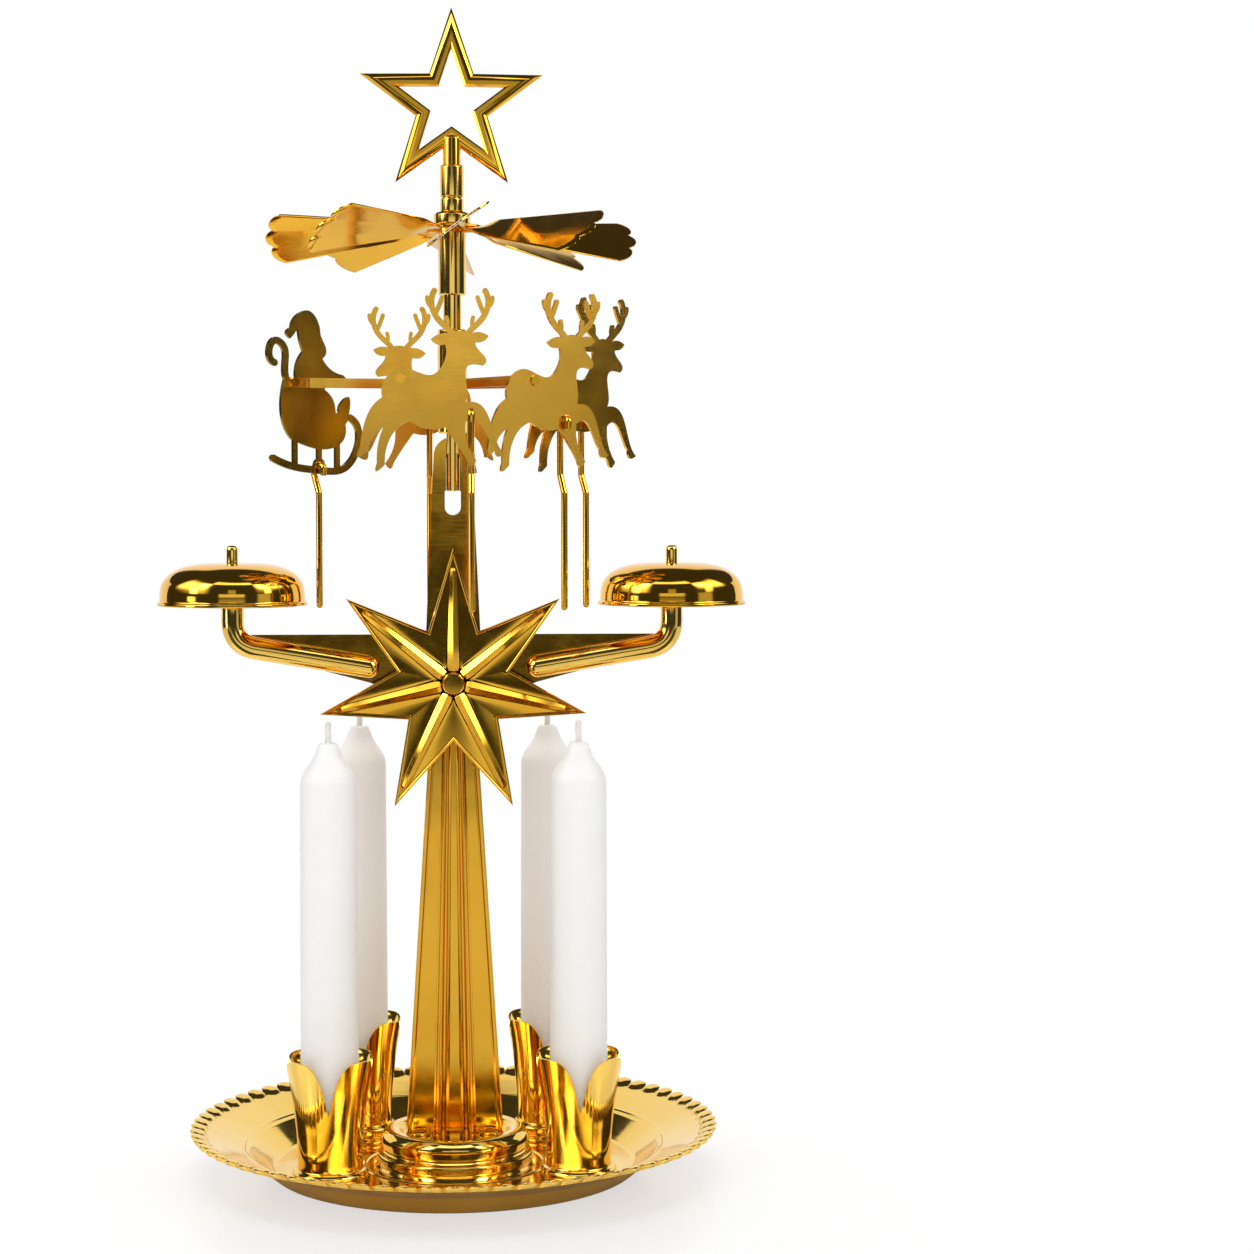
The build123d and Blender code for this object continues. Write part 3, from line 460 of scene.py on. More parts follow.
# Places that several pieces share
TRAY_SHEET = 0.8
BOSS_SEAT = 8.0
FOOT_SHEET = 1.0
FOOT_RIVETS = [(-9.0, -3.05), (9.0, -3.05)]
CUPS = [node_centre(f"candle_cup_{i}").xy for i in range(1, 5)]
CUP_SHEET = 0.6
CANDLE_SEAT = 9.2
WICK_FOOT = 104.4
CARRIER_FOOT, CARRIER_TOP = 184.3, 238.8
SLEEVE_BORE = 2.3
ROTOR_HEIGHT, ROTOR_SHEET = 235.0, 0.6
ROTOR_TOP = ROTOR_HEIGHT + ROTOR_SHEET
STEM_FOOT = 242.8

# Round pieces

# Boss: stepped foot, rolled rim, and a sunk top with a ring round each rivet
boss_line = rounded([
    (0, BOSS_SEAT, 0), (12.8, BOSS_SEAT, 1.5), (14.2, 10.2, 1.6), (17.0, 10.2, 2.2), (18.7, 8.2, 2.6),
    (18.3, 5.6, 1.2), (17.7, 5.0, 0.3), (18.1, 4.5, 0.3), (19.5, 4.2, 1.3), (19.5, 2.2, 0.9),
    (19.1, 1.4, 0.3), (19.5, TRAY_SHEET, 0), (18.6, TRAY_SHEET, 0), (16.9, 4.0, 0), (16.9, 7.2, 0),
    (0, 7.2, 0),
], steps=9)
ring_line = rounded([(2.6, BOSS_SEAT, 0), (2.9, 8.45, 0.3), (3.5, 8.45, 0.3), (3.8, BOSS_SEAT, 0)])
rivet_rings = [lathe(ring_line, place, segments=48) for place in FOOT_RIVETS]
stand_in("base_boss", *merge(lathe(boss_line), *rivet_rings), sharp_angle=50)

# Tray rivets: domed heads, with shanks that go down through the tray
RIVET_HEAD, RIVET_SHANK = 2.0, 1.2
RIVET_DOME, DOME_STEPS = 0.7, 8


def tray_rivet(centre, seat):
    """A domed rivet whose head lies on a seat."""
    angles = [math.pi / 2 * k / DOME_STEPS for k in range(DOME_STEPS + 1)]
    line = [(RIVET_HEAD * math.sin(a), seat + RIVET_DOME * math.cos(a)) for a in angles]
    return lathe(line + [(RIVET_SHANK, seat), (RIVET_SHANK, 0), (0, 0)], centre, segments=40)


stand_in("boss_rivets", *merge(*[tray_rivet(place, BOSS_SEAT + FOOT_SHEET) for place in FOOT_RIVETS]))
stand_in("cup_rivets", *merge(*[tray_rivet(centre, TRAY_SHEET + CUP_SHEET) for centre in CUPS]))

# Candles: long taper, soft S shoulder, and the wick's hole
TAPER_STEPS = 12
taper_foot, taper_top = Vector((7.1, 10.2)), Vector((6.8, 98.4))
candle_line = [(0, CANDLE_SEAT), (6.5, CANDLE_SEAT), (7.0, 9.5)]
candle_line += [taper_foot.lerp(taper_top, k / TAPER_STEPS) for k in range(TAPER_STEPS + 1)]
candle_line += smooth([(6.8, 99.2), (6.6, 100.5), (5.75, 102.4), (4.55, 104.1), (3.55, 105.7), (2.85, 107.5),
                       (2.25, 108.8), (1.6, 109.2), (0.85, 109.1)], steps=6)
candle_line += [(0.85, WICK_FOOT), (0, WICK_FOOT)]
for number, centre in enumerate(CUPS, start=1):
    stand_in(f"candle_{number}", *lathe(candle_line, centre, segments=96), sharp_angle=50)

# Wicks: three-strand braid under a skin of wax, rounded off at the end
WICK_SHOULDER, WICK_END = 113.7, 114.4
WICK_RADIUS, STRAND_RISE, STRAND_TWIST = 0.72, 0.08, 0.55
WICK_POINT = 0.01
WICK_ROWS, WICK_SIDES = 60, 24
wick_rows = []
for i in range(WICK_ROWS + 1):
    z = WICK_FOOT + (WICK_END - WICK_FOOT) * i / WICK_ROWS
    past = max(0.0, z - WICK_SHOULDER) / (WICK_END - WICK_SHOULDER)
    end = math.sqrt(max(0.0, 1 - past**2))
    angles = [2 * math.pi * k / WICK_SIDES for k in range(WICK_SIDES)]
    strands = [WICK_RADIUS + STRAND_RISE * math.cos(3 * (angle + STRAND_TWIST * z)) for angle in angles]
    wick_rows.append([(max(WICK_POINT, strand * end), z) for strand in strands])
for number, centre in enumerate(CUPS, start=1):
    wick_points = turned_rows(wick_rows, centre)
    stand_in(f"wick_{number}", wick_points, tube_faces(WICK_ROWS + 1, WICK_SIDES), sharp_angle=60)

# Bells: flat crown, round haunch, straight skirt and a rolled lip
BELL_BORE, BELL_TOP, BELL_SHEET = 1.53, 152.25, 0.7
BELL_LIP, BELL_FOOT = 18.49, 141.75
BELL_STEPS = 7
bell_outer = smooth([
    (5.0, BELL_TOP), (8.6, 152.0), (12.2, 151.2), (15.2, 149.7), (17.1, 147.6), (17.75, 145.4), (17.9, 143.4),
], BELL_STEPS)
bell_lip = rounded([
    (17.9, 143.3, 0), (18.0, 142.75, 0.4), (BELL_LIP, 142.55, 0.4), (BELL_LIP, BELL_FOOT, 0.4),
    (17.75, BELL_FOOT, 0.3), (17.3, 142.6, 0),
])
bell_haunch = bell_outer[2 * BELL_STEPS:]
bell_inner = [(p.x - BELL_SHEET, p.y) for p in reversed(bell_haunch)]
bell_crown = [(9.0, 151.25), (5.0, BELL_TOP - BELL_SHEET), (BELL_BORE, BELL_TOP - BELL_SHEET)]
bell_line = [(BELL_BORE, BELL_TOP), (3.6, BELL_TOP), *bell_outer, *bell_lip, *bell_inner, *bell_crown]
for side in ("left", "right"):
    centre = node_centre(f"bell_{side}").xy
    stand_in(f"bell_{side}", *lathe(bell_line, centre, segments=160), sharp_angle=40)

# Bell posts: bent rods with a round root, a shoulder that carries the bell, and a pin
POST_RADIUS, POST_BEND = 2.75, 7.0
POST_ROOT_REACH, POST_ROOT_HEIGHT = 21.0, 126.3
POST_ELBOW_HEIGHT, POST_SHOULDER = 131.9, 151.0
PIN_RADIUS = 1.45
post_pin = [
    (POST_RADIUS, POST_SHOULDER), (2.55, 151.35), (1.9, 151.55), (PIN_RADIUS, 151.56), (PIN_RADIUS, 155.4),
    (1.32, 156.05), (0.9, 156.45), (0.3, 156.55),
]
for side, name in ((-1, "left"), (1, "right")):
    x, y = node_centre(f"bell_{name}").xy
    root, elbow = Vector((side * POST_ROOT_REACH, y, POST_ROOT_HEIGHT)), Vector((x, y, POST_ELBOW_HEIGHT))
    rod = bent_path([root, elbow, Vector((x, y, POST_SHOULDER))], POST_BEND, steps=14)
    root_path, root_radii = round_end(root, (root - elbow).normalized(), POST_RADIUS, steps=8)
    path = root_path[::-1] + rod + [Vector((x, y, z)) for _, z in post_pin]
    radii = root_radii[::-1] + [POST_RADIUS] * len(rod) + [r for r, _ in post_pin]
    stand_in(f"bell_post_{name}", *sweep(path, radii, sides=36), sharp_angle=50)


# Turned pieces on the spindle


def sleeve(node, outer, bore, foot, top, edge=0.3):
    """A turned tube about the spindle with eased edges."""
    line = rounded([
        (bore, foot, 0), (outer - edge, foot, 0), (outer, foot + edge, 0.2), (outer, top - edge, 0.2),
        (outer - edge, top, 0), (bore, top, 0),
    ])
    stand_in(node, *lathe(line, segments=72))


sleeve("carrier_tube", outer=2.25, bore=1.68, foot=CARRIER_FOOT, top=CARRIER_TOP, edge=0.15)
sleeve("figure_hub", outer=3.6, bore=SLEEVE_BORE, foot=CARRIER_FOOT, top=210.0)
sleeve("rotor_hub", outer=3.4, bore=SLEEVE_BORE, foot=218.5, top=ROTOR_HEIGHT)
sleeve("rotor_collar", outer=4.6, bore=SLEEVE_BORE, foot=ROTOR_TOP, top=CARRIER_TOP, edge=0.55)
socket_line = rounded([
    (0, 235.5, 0), (1.6, 235.5, 0), (1.6, CARRIER_TOP, 0), (2.6, CARRIER_TOP, 0.2), (2.9, 239.2, 0.2),
    (2.9, 242.0, 0.15), (2.65, 242.2, 0.15), (2.65, 242.7, 0.15), (2.9, 242.9, 0.15), (2.9, 250.1, 0.3),
    (2.5, 250.55, 0.2), (2.25, 250.55, 0), (2.25, STEM_FOOT, 0), (0, STEM_FOOT, 0),
])
stand_in("topper_socket", *lathe(socket_line, segments=72))
spindle_line = [(0, 170.0), (1.4, 170.0), (1.6, 170.3), (1.6, 230.0), (0.1, 233.0), (0, 233.0)]
stand_in("spindle", *lathe(spindle_line, segments=56))

# Strikers: hooked wires with a kink below the figure and a round foot. Each figure has its middle,
# the way it heads in degrees, and its hook's hole as a step along the sheet and up.
FIGURE_HEIGHT = 191.6
FIGURES = [
    ((-33.0, -3.0), 40.0, (0.0, -15.2)),
    ((-6.0, -33.0), 0.0, (10.4, -2.8)),
    ((22.0, -22.4), 30.0, (5.8, -4.0)),
    ((31.0, -5.5), 36.0, (2.5, -3.5)),
    ((-6.0, 33.0), 180.0, (0.0, -3.5)),
]
WIRE_RADIUS, WIRE_BEND = 0.8, 1.1
HOOK_REACH, HOOK_DROP = 1.9, 2.6
KINK_TOP, KINK_FOOT, WIRE_FOOT = 173.9, 169.4, 141.8
UP = Vector((0, 0, 1))
for number, (place, heading, hang) in enumerate(FIGURES, start=1):
    run = Vector((math.cos(math.radians(heading)), math.sin(math.radians(heading)), 0))
    out = run.cross(UP) * HOOK_REACH
    eye = Vector((*place, FIGURE_HEIGHT)) + run * hang[0] + UP * hang[1]
    kink, bottom, foot = [Vector((eye.x, eye.y, z)) for z in (KINK_TOP, KINK_FOOT, WIRE_FOOT)]
    hook = [eye + out - UP * HOOK_DROP, eye + out, eye - out]
    wire = bent_path(hook + [kink - out, bottom, foot], WIRE_BEND, steps=8)
    tip_path, tip_radii = round_end(foot, -UP, WIRE_RADIUS, steps=6)
    radii = [WIRE_RADIUS] * len(wire) + tip_radii
    stand_in(f"striker_{number}", *sweep(wire + tip_path, radii, sides=20), sharp_angle=60)


# Pressed sheet pieces

# Tray: flat floor, ringed well, wide rim and a border of small lobes, each with a dome pressed in it
LOBES, LOBE_RADIUS, LOBE_CIRCLE = 72, 2.9, 63.1
DOME_CIRCLE, DOME_DEPTH, DOME_WIDTH, DOME_RISE = 63.9, 2.1, 2.8, 0.75
STEPS_PER_LOBE, RIM_ROWS = 12, 14
RIM_SLOPE = 0.33
EDGE_ROLL = [(0.02, 0.35), (0.35, 0.75)]
TRAY_COLUMNS = LOBES * STEPS_PER_LOBE


def lobe_edge(angle):
    """Radius of the lobed edge at an angle, and how far the angle is from its lobe's middle."""
    pitch = 2 * math.pi / LOBES
    off = (angle + pitch / 2) % pitch - pitch / 2
    across = LOBE_CIRCLE * math.sin(off)
    return LOBE_CIRCLE * math.cos(off) + math.sqrt(LOBE_RADIUS**2 - across**2), off


def dome_rise(r, off):
    """Height of a lobe's dome at a radius and an angle from the lobe's middle."""
    away = math.hypot((r * math.cos(off) - DOME_CIRCLE) / DOME_DEPTH, r * math.sin(off) / DOME_WIDTH)
    return DOME_RISE * math.sqrt(max(0.0, 1 - away**2))


floor_line = rounded([
    (2.0, TRAY_SHEET, 0), (22.0, TRAY_SHEET, 0.5), (22.6, 1.15, 0.5), (23.2, TRAY_SHEET, 0.5),
    (45.4, TRAY_SHEET, 2.6), (51.0, 5.9, 2.6), (52.2, 6.4, 0.3), (52.5, 6.75, 0.4), (53.1, 6.78, 0.5),
    (58.9, 9.0, 0),
], steps=6)
under_line = rounded([
    (58.9, 8.15, 0), (51.2, 5.0, 1.5), (46.6, 0.9, 2.0), (45.4, 0.0, 1.0), (2.0, 0.0, 0),
], steps=6)
rim_start = floor_line[-1]
rim_shares = [k / RIM_ROWS for k in range(1, RIM_ROWS + 1)]
edges = [lobe_edge(2 * math.pi * k / TRAY_COLUMNS) for k in range(TRAY_COLUMNS)]
tray_rows = [[(p.x, p.y)] * TRAY_COLUMNS for p in floor_line]
for share in rim_shares:
    row = []
    for edge, off in edges:
        out = (edge - rim_start.x) * share
        row.append((rim_start.x + out, rim_start.y + out * RIM_SLOPE + dome_rise(rim_start.x + out, off)))
    tray_rows.append(row)
rim_edge = tray_rows[-1]
tray_rows += [[(r - inward, z - down) for r, z in rim_edge] for inward, down in EDGE_ROLL]
for share in reversed(rim_shares[:-1:4]):
    outs = [(edge - rim_start.x) * share for edge, _ in edges]
    tray_rows.append([(rim_start.x + out, rim_start.y - TRAY_SHEET + out * RIM_SLOPE) for out in outs])
tray_rows += [[(p.x, p.y)] * TRAY_COLUMNS for p in under_line]
stand_in("tray", turned_rows(tray_rows), tube_faces(len(tray_rows), TRAY_COLUMNS), sharp_angle=40)

# Candle cups: beaded neck and a tulip of four leaves with tips that curl out
CUP_COLUMNS, LEAF_ROWS = 128, 30
LEAF_FOOT, LEAF_NOTCH, LEAF_TIP = 6.2, 19.7, 32.7
NOTCH_WIDTH, LEAF_ROUNDNESS = 0.03, 3.4
WAIST_RADIUS, LEAF_FLARE, FLARE_POWER = 7.85, 3.15, 1.8
CURL_START, TIP_CURL, CURL_POWER = 0.7, 0.4, 1.5
LEAF_EDGE = 0.12
CUP_BORE, CUP_INSIDE_FOOT, SEAT_RADIUS = 7.22, 9.8, 7.4
RIVET_HOLE = 1.25
cup_foot = rounded([
    (RIVET_HOLE, TRAY_SHEET, 0), (8.2, TRAY_SHEET, 0.3), (8.35, 1.4, 0.4), (8.05, 2.1, 0.4), (8.1, 2.5, 0.3),
    (8.7, 2.7, 0.4), (9.3, 3.2, 0.7), (9.3, 4.5, 0.7), (8.7, 5.1, 0.4), (7.95, 5.3, 0.4),
    (WAIST_RADIUS, LEAF_FOOT, 0),
])
cup_seat = [
    (SEAT_RADIUS, CANDLE_SEAT), (0, CANDLE_SEAT), (0, CANDLE_SEAT - CUP_SHEET),
    (SEAT_RADIUS, CANDLE_SEAT - CUP_SHEET), (SEAT_RADIUS, TRAY_SHEET + CUP_SHEET),
    (RIVET_HOLE, TRAY_SHEET + CUP_SHEET),
]


def leaf_top(angle):
    """Height of the leaf's edge at an angle: deep notches on the axes, points on the diagonals."""
    off = abs((angle + math.pi / 4) % (math.pi / 2) - math.pi / 4) / (math.pi / 4)
    rise = max(0.0, (off - NOTCH_WIDTH) / (1 - NOTCH_WIDTH))
    return LEAF_NOTCH + (LEAF_TIP - LEAF_NOTCH) * (1 - (1 - rise) ** LEAF_ROUNDNESS)


def leaf_radius(z):
    """Outer radius of the tulip: a slim waist that opens wide, and tips that curl outward."""
    t = (z - LEAF_FOOT) / (LEAF_TIP - LEAF_FOOT)
    curl = TIP_CURL * max(0.0, (t - CURL_START) / (1 - CURL_START)) ** CURL_POWER
    return WAIST_RADIUS + LEAF_FLARE * t**FLARE_POWER + curl


tops = [leaf_top(2 * math.pi * k / CUP_COLUMNS) for k in range(CUP_COLUMNS)]
cup_rows = [[(p.x, p.y)] * CUP_COLUMNS for p in cup_foot]
for i in range(1, LEAF_ROWS + 1):
    heights = [LEAF_FOOT + (top - LEAF_FOOT) * i / LEAF_ROWS for top in tops]
    cup_rows.append([(leaf_radius(z), z) for z in heights])
cup_rows.append([(leaf_radius(top) - CUP_SHEET / 2, top + LEAF_EDGE) for top in tops])
for i in range(LEAF_ROWS, -1, -2):
    heights = [CUP_INSIDE_FOOT + (top - CUP_INSIDE_FOOT) * i / LEAF_ROWS for top in tops]
    cup_rows.append([(max(CUP_BORE, leaf_radius(z) - CUP_SHEET), z) for z in heights])
cup_rows += [[corner] * CUP_COLUMNS for corner in cup_seat]
cup_faces = grid_faces(len(cup_rows), CUP_COLUMNS, True, True)
for number, centre in enumerate(CUPS, start=1):
    stand_in(f"candle_cup_{number}", turned_rows(cup_rows, centre), cup_faces, sharp_angle=55)

# Column: tapered sheet with rolled edges and a rib of three beads, on two riveted feet
COLUMN_BACK, FLANGE, CREST = 0.45, -0.55, -3.55
COLUMN_HEIGHT, COLUMN_ROWS = 125.0, 24
FOOT_WIDTH, TOP_WIDTH = 24.5, 9.0
RIB_FOOT_WIDTH, RIB_TOP_WIDTH = 10.0, 3.4
TAB_WIDTH, TAB_DEPTH = 4.0, 5.0


def column_ring(width, rib):
    """Cross section of the column as (x, y): rolled edges, and three beads with deep grooves between."""
    half, foot = width / 2, rib / 2
    right = [
        (half, COLUMN_BACK, 0), (half, FLANGE - 0.3, 0.35), (half - 0.95, FLANGE - 0.3, 0.3),
        (half - 1.2, FLANGE + 0.1, 0.2), (half - 1.6, FLANGE, 0.2), (foot + 0.45, FLANGE, 0.3),
        (foot, FLANGE - 0.4, 0.3), (foot * 0.96, CREST + 0.7, 0.5), (foot * 0.84, CREST + 0.15, 0.5),
        (foot * 0.70, CREST + 0.3, 0.3), (foot * 0.62, CREST + 2.0, 0), (foot * 0.54, CREST + 2.0, 0),
        (foot * 0.46, CREST + 0.35, 0.3), (foot * 0.25, CREST, 0.8),
    ]
    left = [(-x, y, r) for x, y, r in reversed(right)]
    inside = [(1.0 - foot, COLUMN_BACK, 0), (-foot * 0.6, CREST + 2.6, 0)]
    inside += [(-x, y, r) for x, y, r in reversed(inside)]
    return rounded(right + left + inside, closed=True, steps=5)


def foot_tab(centre):
    """One of the column's feet: a small flat tab with round corners and an eased top edge."""
    w, d = TAB_WIDTH / 2, TAB_DEPTH / 2
    outline = rounded([(-w, -d, 0.8), (w, -d, 0.8), (w, d, 0.3), (-w, d, 0.3)], closed=True, steps=5)
    top = BOSS_SEAT + FOOT_SHEET
    rings = [(1.0, BOSS_SEAT), (1.0, top - 0.15), (0.94, top)]
    points = [(centre[0] + p.x * share, centre[1] + p.y * share, z) for share, z in rings for p in outline]
    return points, tube_faces(len(rings), len(outline))


column_points = []
for i in range(COLUMN_ROWS + 1):
    t = i / COLUMN_ROWS
    width = FOOT_WIDTH + (TOP_WIDTH - FOOT_WIDTH) * t
    ring = column_ring(width, RIB_FOOT_WIDTH + (RIB_TOP_WIDTH - RIB_FOOT_WIDTH) * t)
    column_points += [(p.x, p.y, BOSS_SEAT + COLUMN_HEIGHT * t) for p in ring]
column_faces = tube_faces(COLUMN_ROWS + 1, len(ring))
tabs = [foot_tab(place) for place in FOOT_RIVETS]
stand_in("column", *merge((column_points, column_faces), *tabs), sharp_angle=40)

# Star plate: dished facets, a raised border and a roof-shaped rib along each point
STAR_POINTS, STAR_TIP, STAR_NOTCH, STAR_HEIGHT = 7, 34.0, 14.3, 122.25
STAR_BACK, STAR_FRONT = -3.55, -4.55
SLOT_FLOOR = STAR_FRONT + 0.45
BORDER_WIDTH, SLOT_INSET = 0.95, 0.7
RIB_ROOT, RIB_END = 4.4, 28.0
RIB_ROOT_HALF, RIB_END_HALF = 1.5, 0.85
RIB_GAP, RIB_SLOPE, RIB_EAVE, RIB_CREST_HALF = 0.26, 0.63, 0.25, 0.08
POINT_SLOPE = 0.294
FACET_ROWS, FACET_COLUMNS = 14, 10
FACET_DISH, FACET_FOLD = 0.08, 0.1
HUB_RADIUS = 2.85
star_edge = star_corners(STAR_POINTS, STAR_TIP, STAR_NOTCH, STAR_HEIGHT)
star_middle = Vector((0, STAR_HEIGHT))

# Border: a rounded bead round the star's edge
border = band(star_edge, [
    (0, STAR_BACK), (0, STAR_FRONT - 0.3), (0.08, STAR_FRONT - 0.55), (0.26, STAR_FRONT - 0.7),
    (0.46, STAR_FRONT - 0.7), (0.64, STAR_FRONT - 0.55), (0.72, STAR_FRONT - 0.3), (0.74, SLOT_FLOOR),
    (0.6, STAR_BACK),
])


def rib_half(s):
    """Half width of a rib at a distance from the star's middle."""
    return RIB_ROOT_HALF + (RIB_END_HALF - RIB_ROOT_HALF) * (s - RIB_ROOT) / (RIB_END - RIB_ROOT)


def facet(root, end, notch):
    """A shallow dished panel between a rib's two ends and a notch of the star."""
    points = []
    for row in range(FACET_ROWS + 1):
        v = row / FACET_ROWS
        for column in range(FACET_COLUMNS + 1):
            u = column / FACET_COLUMNS
            flat = root.lerp(end.lerp(notch, u), v)
            dish = FACET_DISH * 4 * u * (1 - u) * v
            points.append((flat.x, STAR_FRONT + dish - FACET_FOLD * (1 - u), flat.y))
    return points, grid_faces(FACET_ROWS + 1, FACET_COLUMNS + 1)


# Stations along a rib: distance from the star's middle, share of the width and share of the rise
RIB_STATIONS = [
    (2.9, 0.55, 0.2), (3.2, 0.8, 0.8), (RIB_ROOT, 1.0, 1.0), (RIB_END, 1.0, 1.0), (28.5, 0.9, 0.8),
    (28.9, 0.6, 0.15),
]


def star_rib(along, across):
    """A roof with steep sides along a point of the star."""
    points = []
    for s, share, rise in RIB_STATIONS:
        half = rib_half(s) * share
        eave = STAR_FRONT - RIB_EAVE * rise
        crest = eave - RIB_SLOPE * half * rise
        section = [(-half, SLOT_FLOOR), (-half, eave), (-RIB_CREST_HALF, crest), (RIB_CREST_HALF, crest),
                   (half, eave), (half, SLOT_FLOOR)]
        for off, y in section:
            flat = star_middle + along * s + across * off
            points.append((flat.x, y, flat.y))
    return points, tube_faces(len(RIB_STATIONS), len(section))


facets, ribs = [], []
inner_edge = inset_corners(star_edge, BORDER_WIDTH)
near = (rib_half(RIB_ROOT) + RIB_GAP) / math.tan(math.pi / STAR_POINTS)
for i in range(STAR_POINTS):
    tip_way = inner_edge[2 * i] - star_middle
    along = tip_way.normalized()
    across = Vector((-along.y, along.x))
    far = (tip_way.length * POINT_SLOPE - RIB_GAP - rib_half(0)) / (POINT_SLOPE + rib_half(1) - rib_half(0))
    for side, notch in ((1, inner_edge[2 * i + 1]), (-1, inner_edge[2 * i - 1])):
        root, end = [star_middle + along * s + across * side * (rib_half(s) + RIB_GAP) for s in (near, far)]
        facets.append(facet(root, end, notch))
    ribs.append(star_rib(along, across))


def star_fan(corners, y):
    """A flat star at a depth, as a fan about its middle."""
    count = len(corners)
    points = [(0, y, STAR_HEIGHT)] + [(x, y, z) for x, z in corners]
    return points, [(0, 1 + i, 1 + (i + 1) % count) for i in range(count)]


slot_floor = star_fan(inset_corners(star_edge, SLOT_INSET), SLOT_FLOOR)
back = star_fan(star_edge, STAR_BACK)
hub_line = rounded([
    (0, SLOT_FLOOR, 0), (HUB_RADIUS, SLOT_FLOOR, 0), (HUB_RADIUS, STAR_FRONT - 0.4, 0.2),
    (2.6, STAR_FRONT - 0.6, 0), (0, STAR_FRONT - 0.6, 0),
])
hub = front_lathe(hub_line, STAR_HEIGHT)
stand_in("star_plate", *merge(border, *facets, *ribs, slot_floor, back, hub), sharp_angle=28)
rivet_line = rounded([
    (0, -6.25, 0), (2.45, -6.25, 0.1), (2.6, -6.1, 0.1), (2.6, -5.1, 0), (0.6, -5.1, 0), (0.6, 2.85, 0),
    (1.2, 2.85, 0), (1.2, 3.2, 0.3), (0.8, 3.35, 0.2), (0, 3.35, 0),
])
stand_in("star_rivet", *front_lathe(rivet_line, STAR_HEIGHT))

# Topper: open star with a rounded outer side, a flat face and a thin inner bevel, on a round stem
TOPPER_HEIGHT, TOPPER_TIP, TOPPER_NOTCH = 265.5, 23.75, 9.3
STEM_RADIUS, STEM_TOP = 2.2, 257.8
topper_edge = star_corners(5, TOPPER_TIP, TOPPER_NOTCH, TOPPER_HEIGHT)
half_frame = [(0.0, -0.2), (0.3, -0.64), (0.65, -0.95), (1.05, -1.16), (1.5, -1.27), (1.9, -1.3), (2.7, -1.3),
              (3.1, -1.02), (3.2, -0.6)]
frame_profile = half_frame + [(inset, -y) for inset, y in reversed(half_frame)]
stem_line = rounded([
    (0, STEM_FOOT, 0), (STEM_RADIUS, STEM_FOOT, 0), (STEM_RADIUS, STEM_TOP - 0.6, 0.3), (1.8, STEM_TOP, 0.3),
    (0, STEM_TOP, 0),
])
topper_shell = merge(band(topper_edge, frame_profile), lathe(stem_line, segments=56))
stand_in("topper_star", *topper_shell, sharp_angle=20)

# Rotor: stamped disc and eight pitched blades with twisted necks and three-lobed ends
BLADES, BLADE_START, BLADE_PITCH, BLADE_DROOP = 8, 2.0, -36.0, 4.5
BLADE_ROWS, BLADE_COLUMNS = 36, 36
BLADE_ROOT, BLADE_REACH = 6.3, 43.8
NECK_HALF, BLADE_HALF = 2.3, 9.0
END_LOBE, MIDDLE_LOBE_RISE, SIDE_LOBE_RISE, SIDE_LOBE_BACK = 6.0, 2.2, 2.0, 2.2
TWIST_START, TWIST_LENGTH = 5.5, 8.0
BLADE_CAMBER, EDGE_SHARE = 0.35, 0.45
ROW_POWER, NEARLY_ONE = 0.9, 0.999


def arc_height(chord, sagitta, x):
    """Height of a circular arc over its chord, at a distance from the chord's middle."""
    radius = (chord**2 / 4 + sagitta**2) / (2 * sagitta)
    return math.sqrt(max(0.0, radius**2 - x**2)) - (radius - sagitta)


def blade_end(y):
    """Reach of the lobed end at a distance from the blade's middle line."""
    y = abs(y)
    if y <= END_LOBE / 2:
        return BLADE_REACH + arc_height(END_LOBE, MIDDLE_LOBE_RISE, y)
    t = (y - END_LOBE / 2) / END_LOBE
    return BLADE_REACH - SIDE_LOBE_BACK * t + arc_height(END_LOBE, SIDE_LOBE_RISE, y - END_LOBE)


def blade_loop(rows, columns):
    """Places of a grid's border, in order round it."""
    loop = list(range(columns))
    loop += [i * columns + columns - 1 for i in range(1, rows)]
    loop += [(rows - 1) * columns + j for j in range(columns - 2, -1, -1)]
    return loop + [i * columns for i in range(rows - 2, 0, -1)]


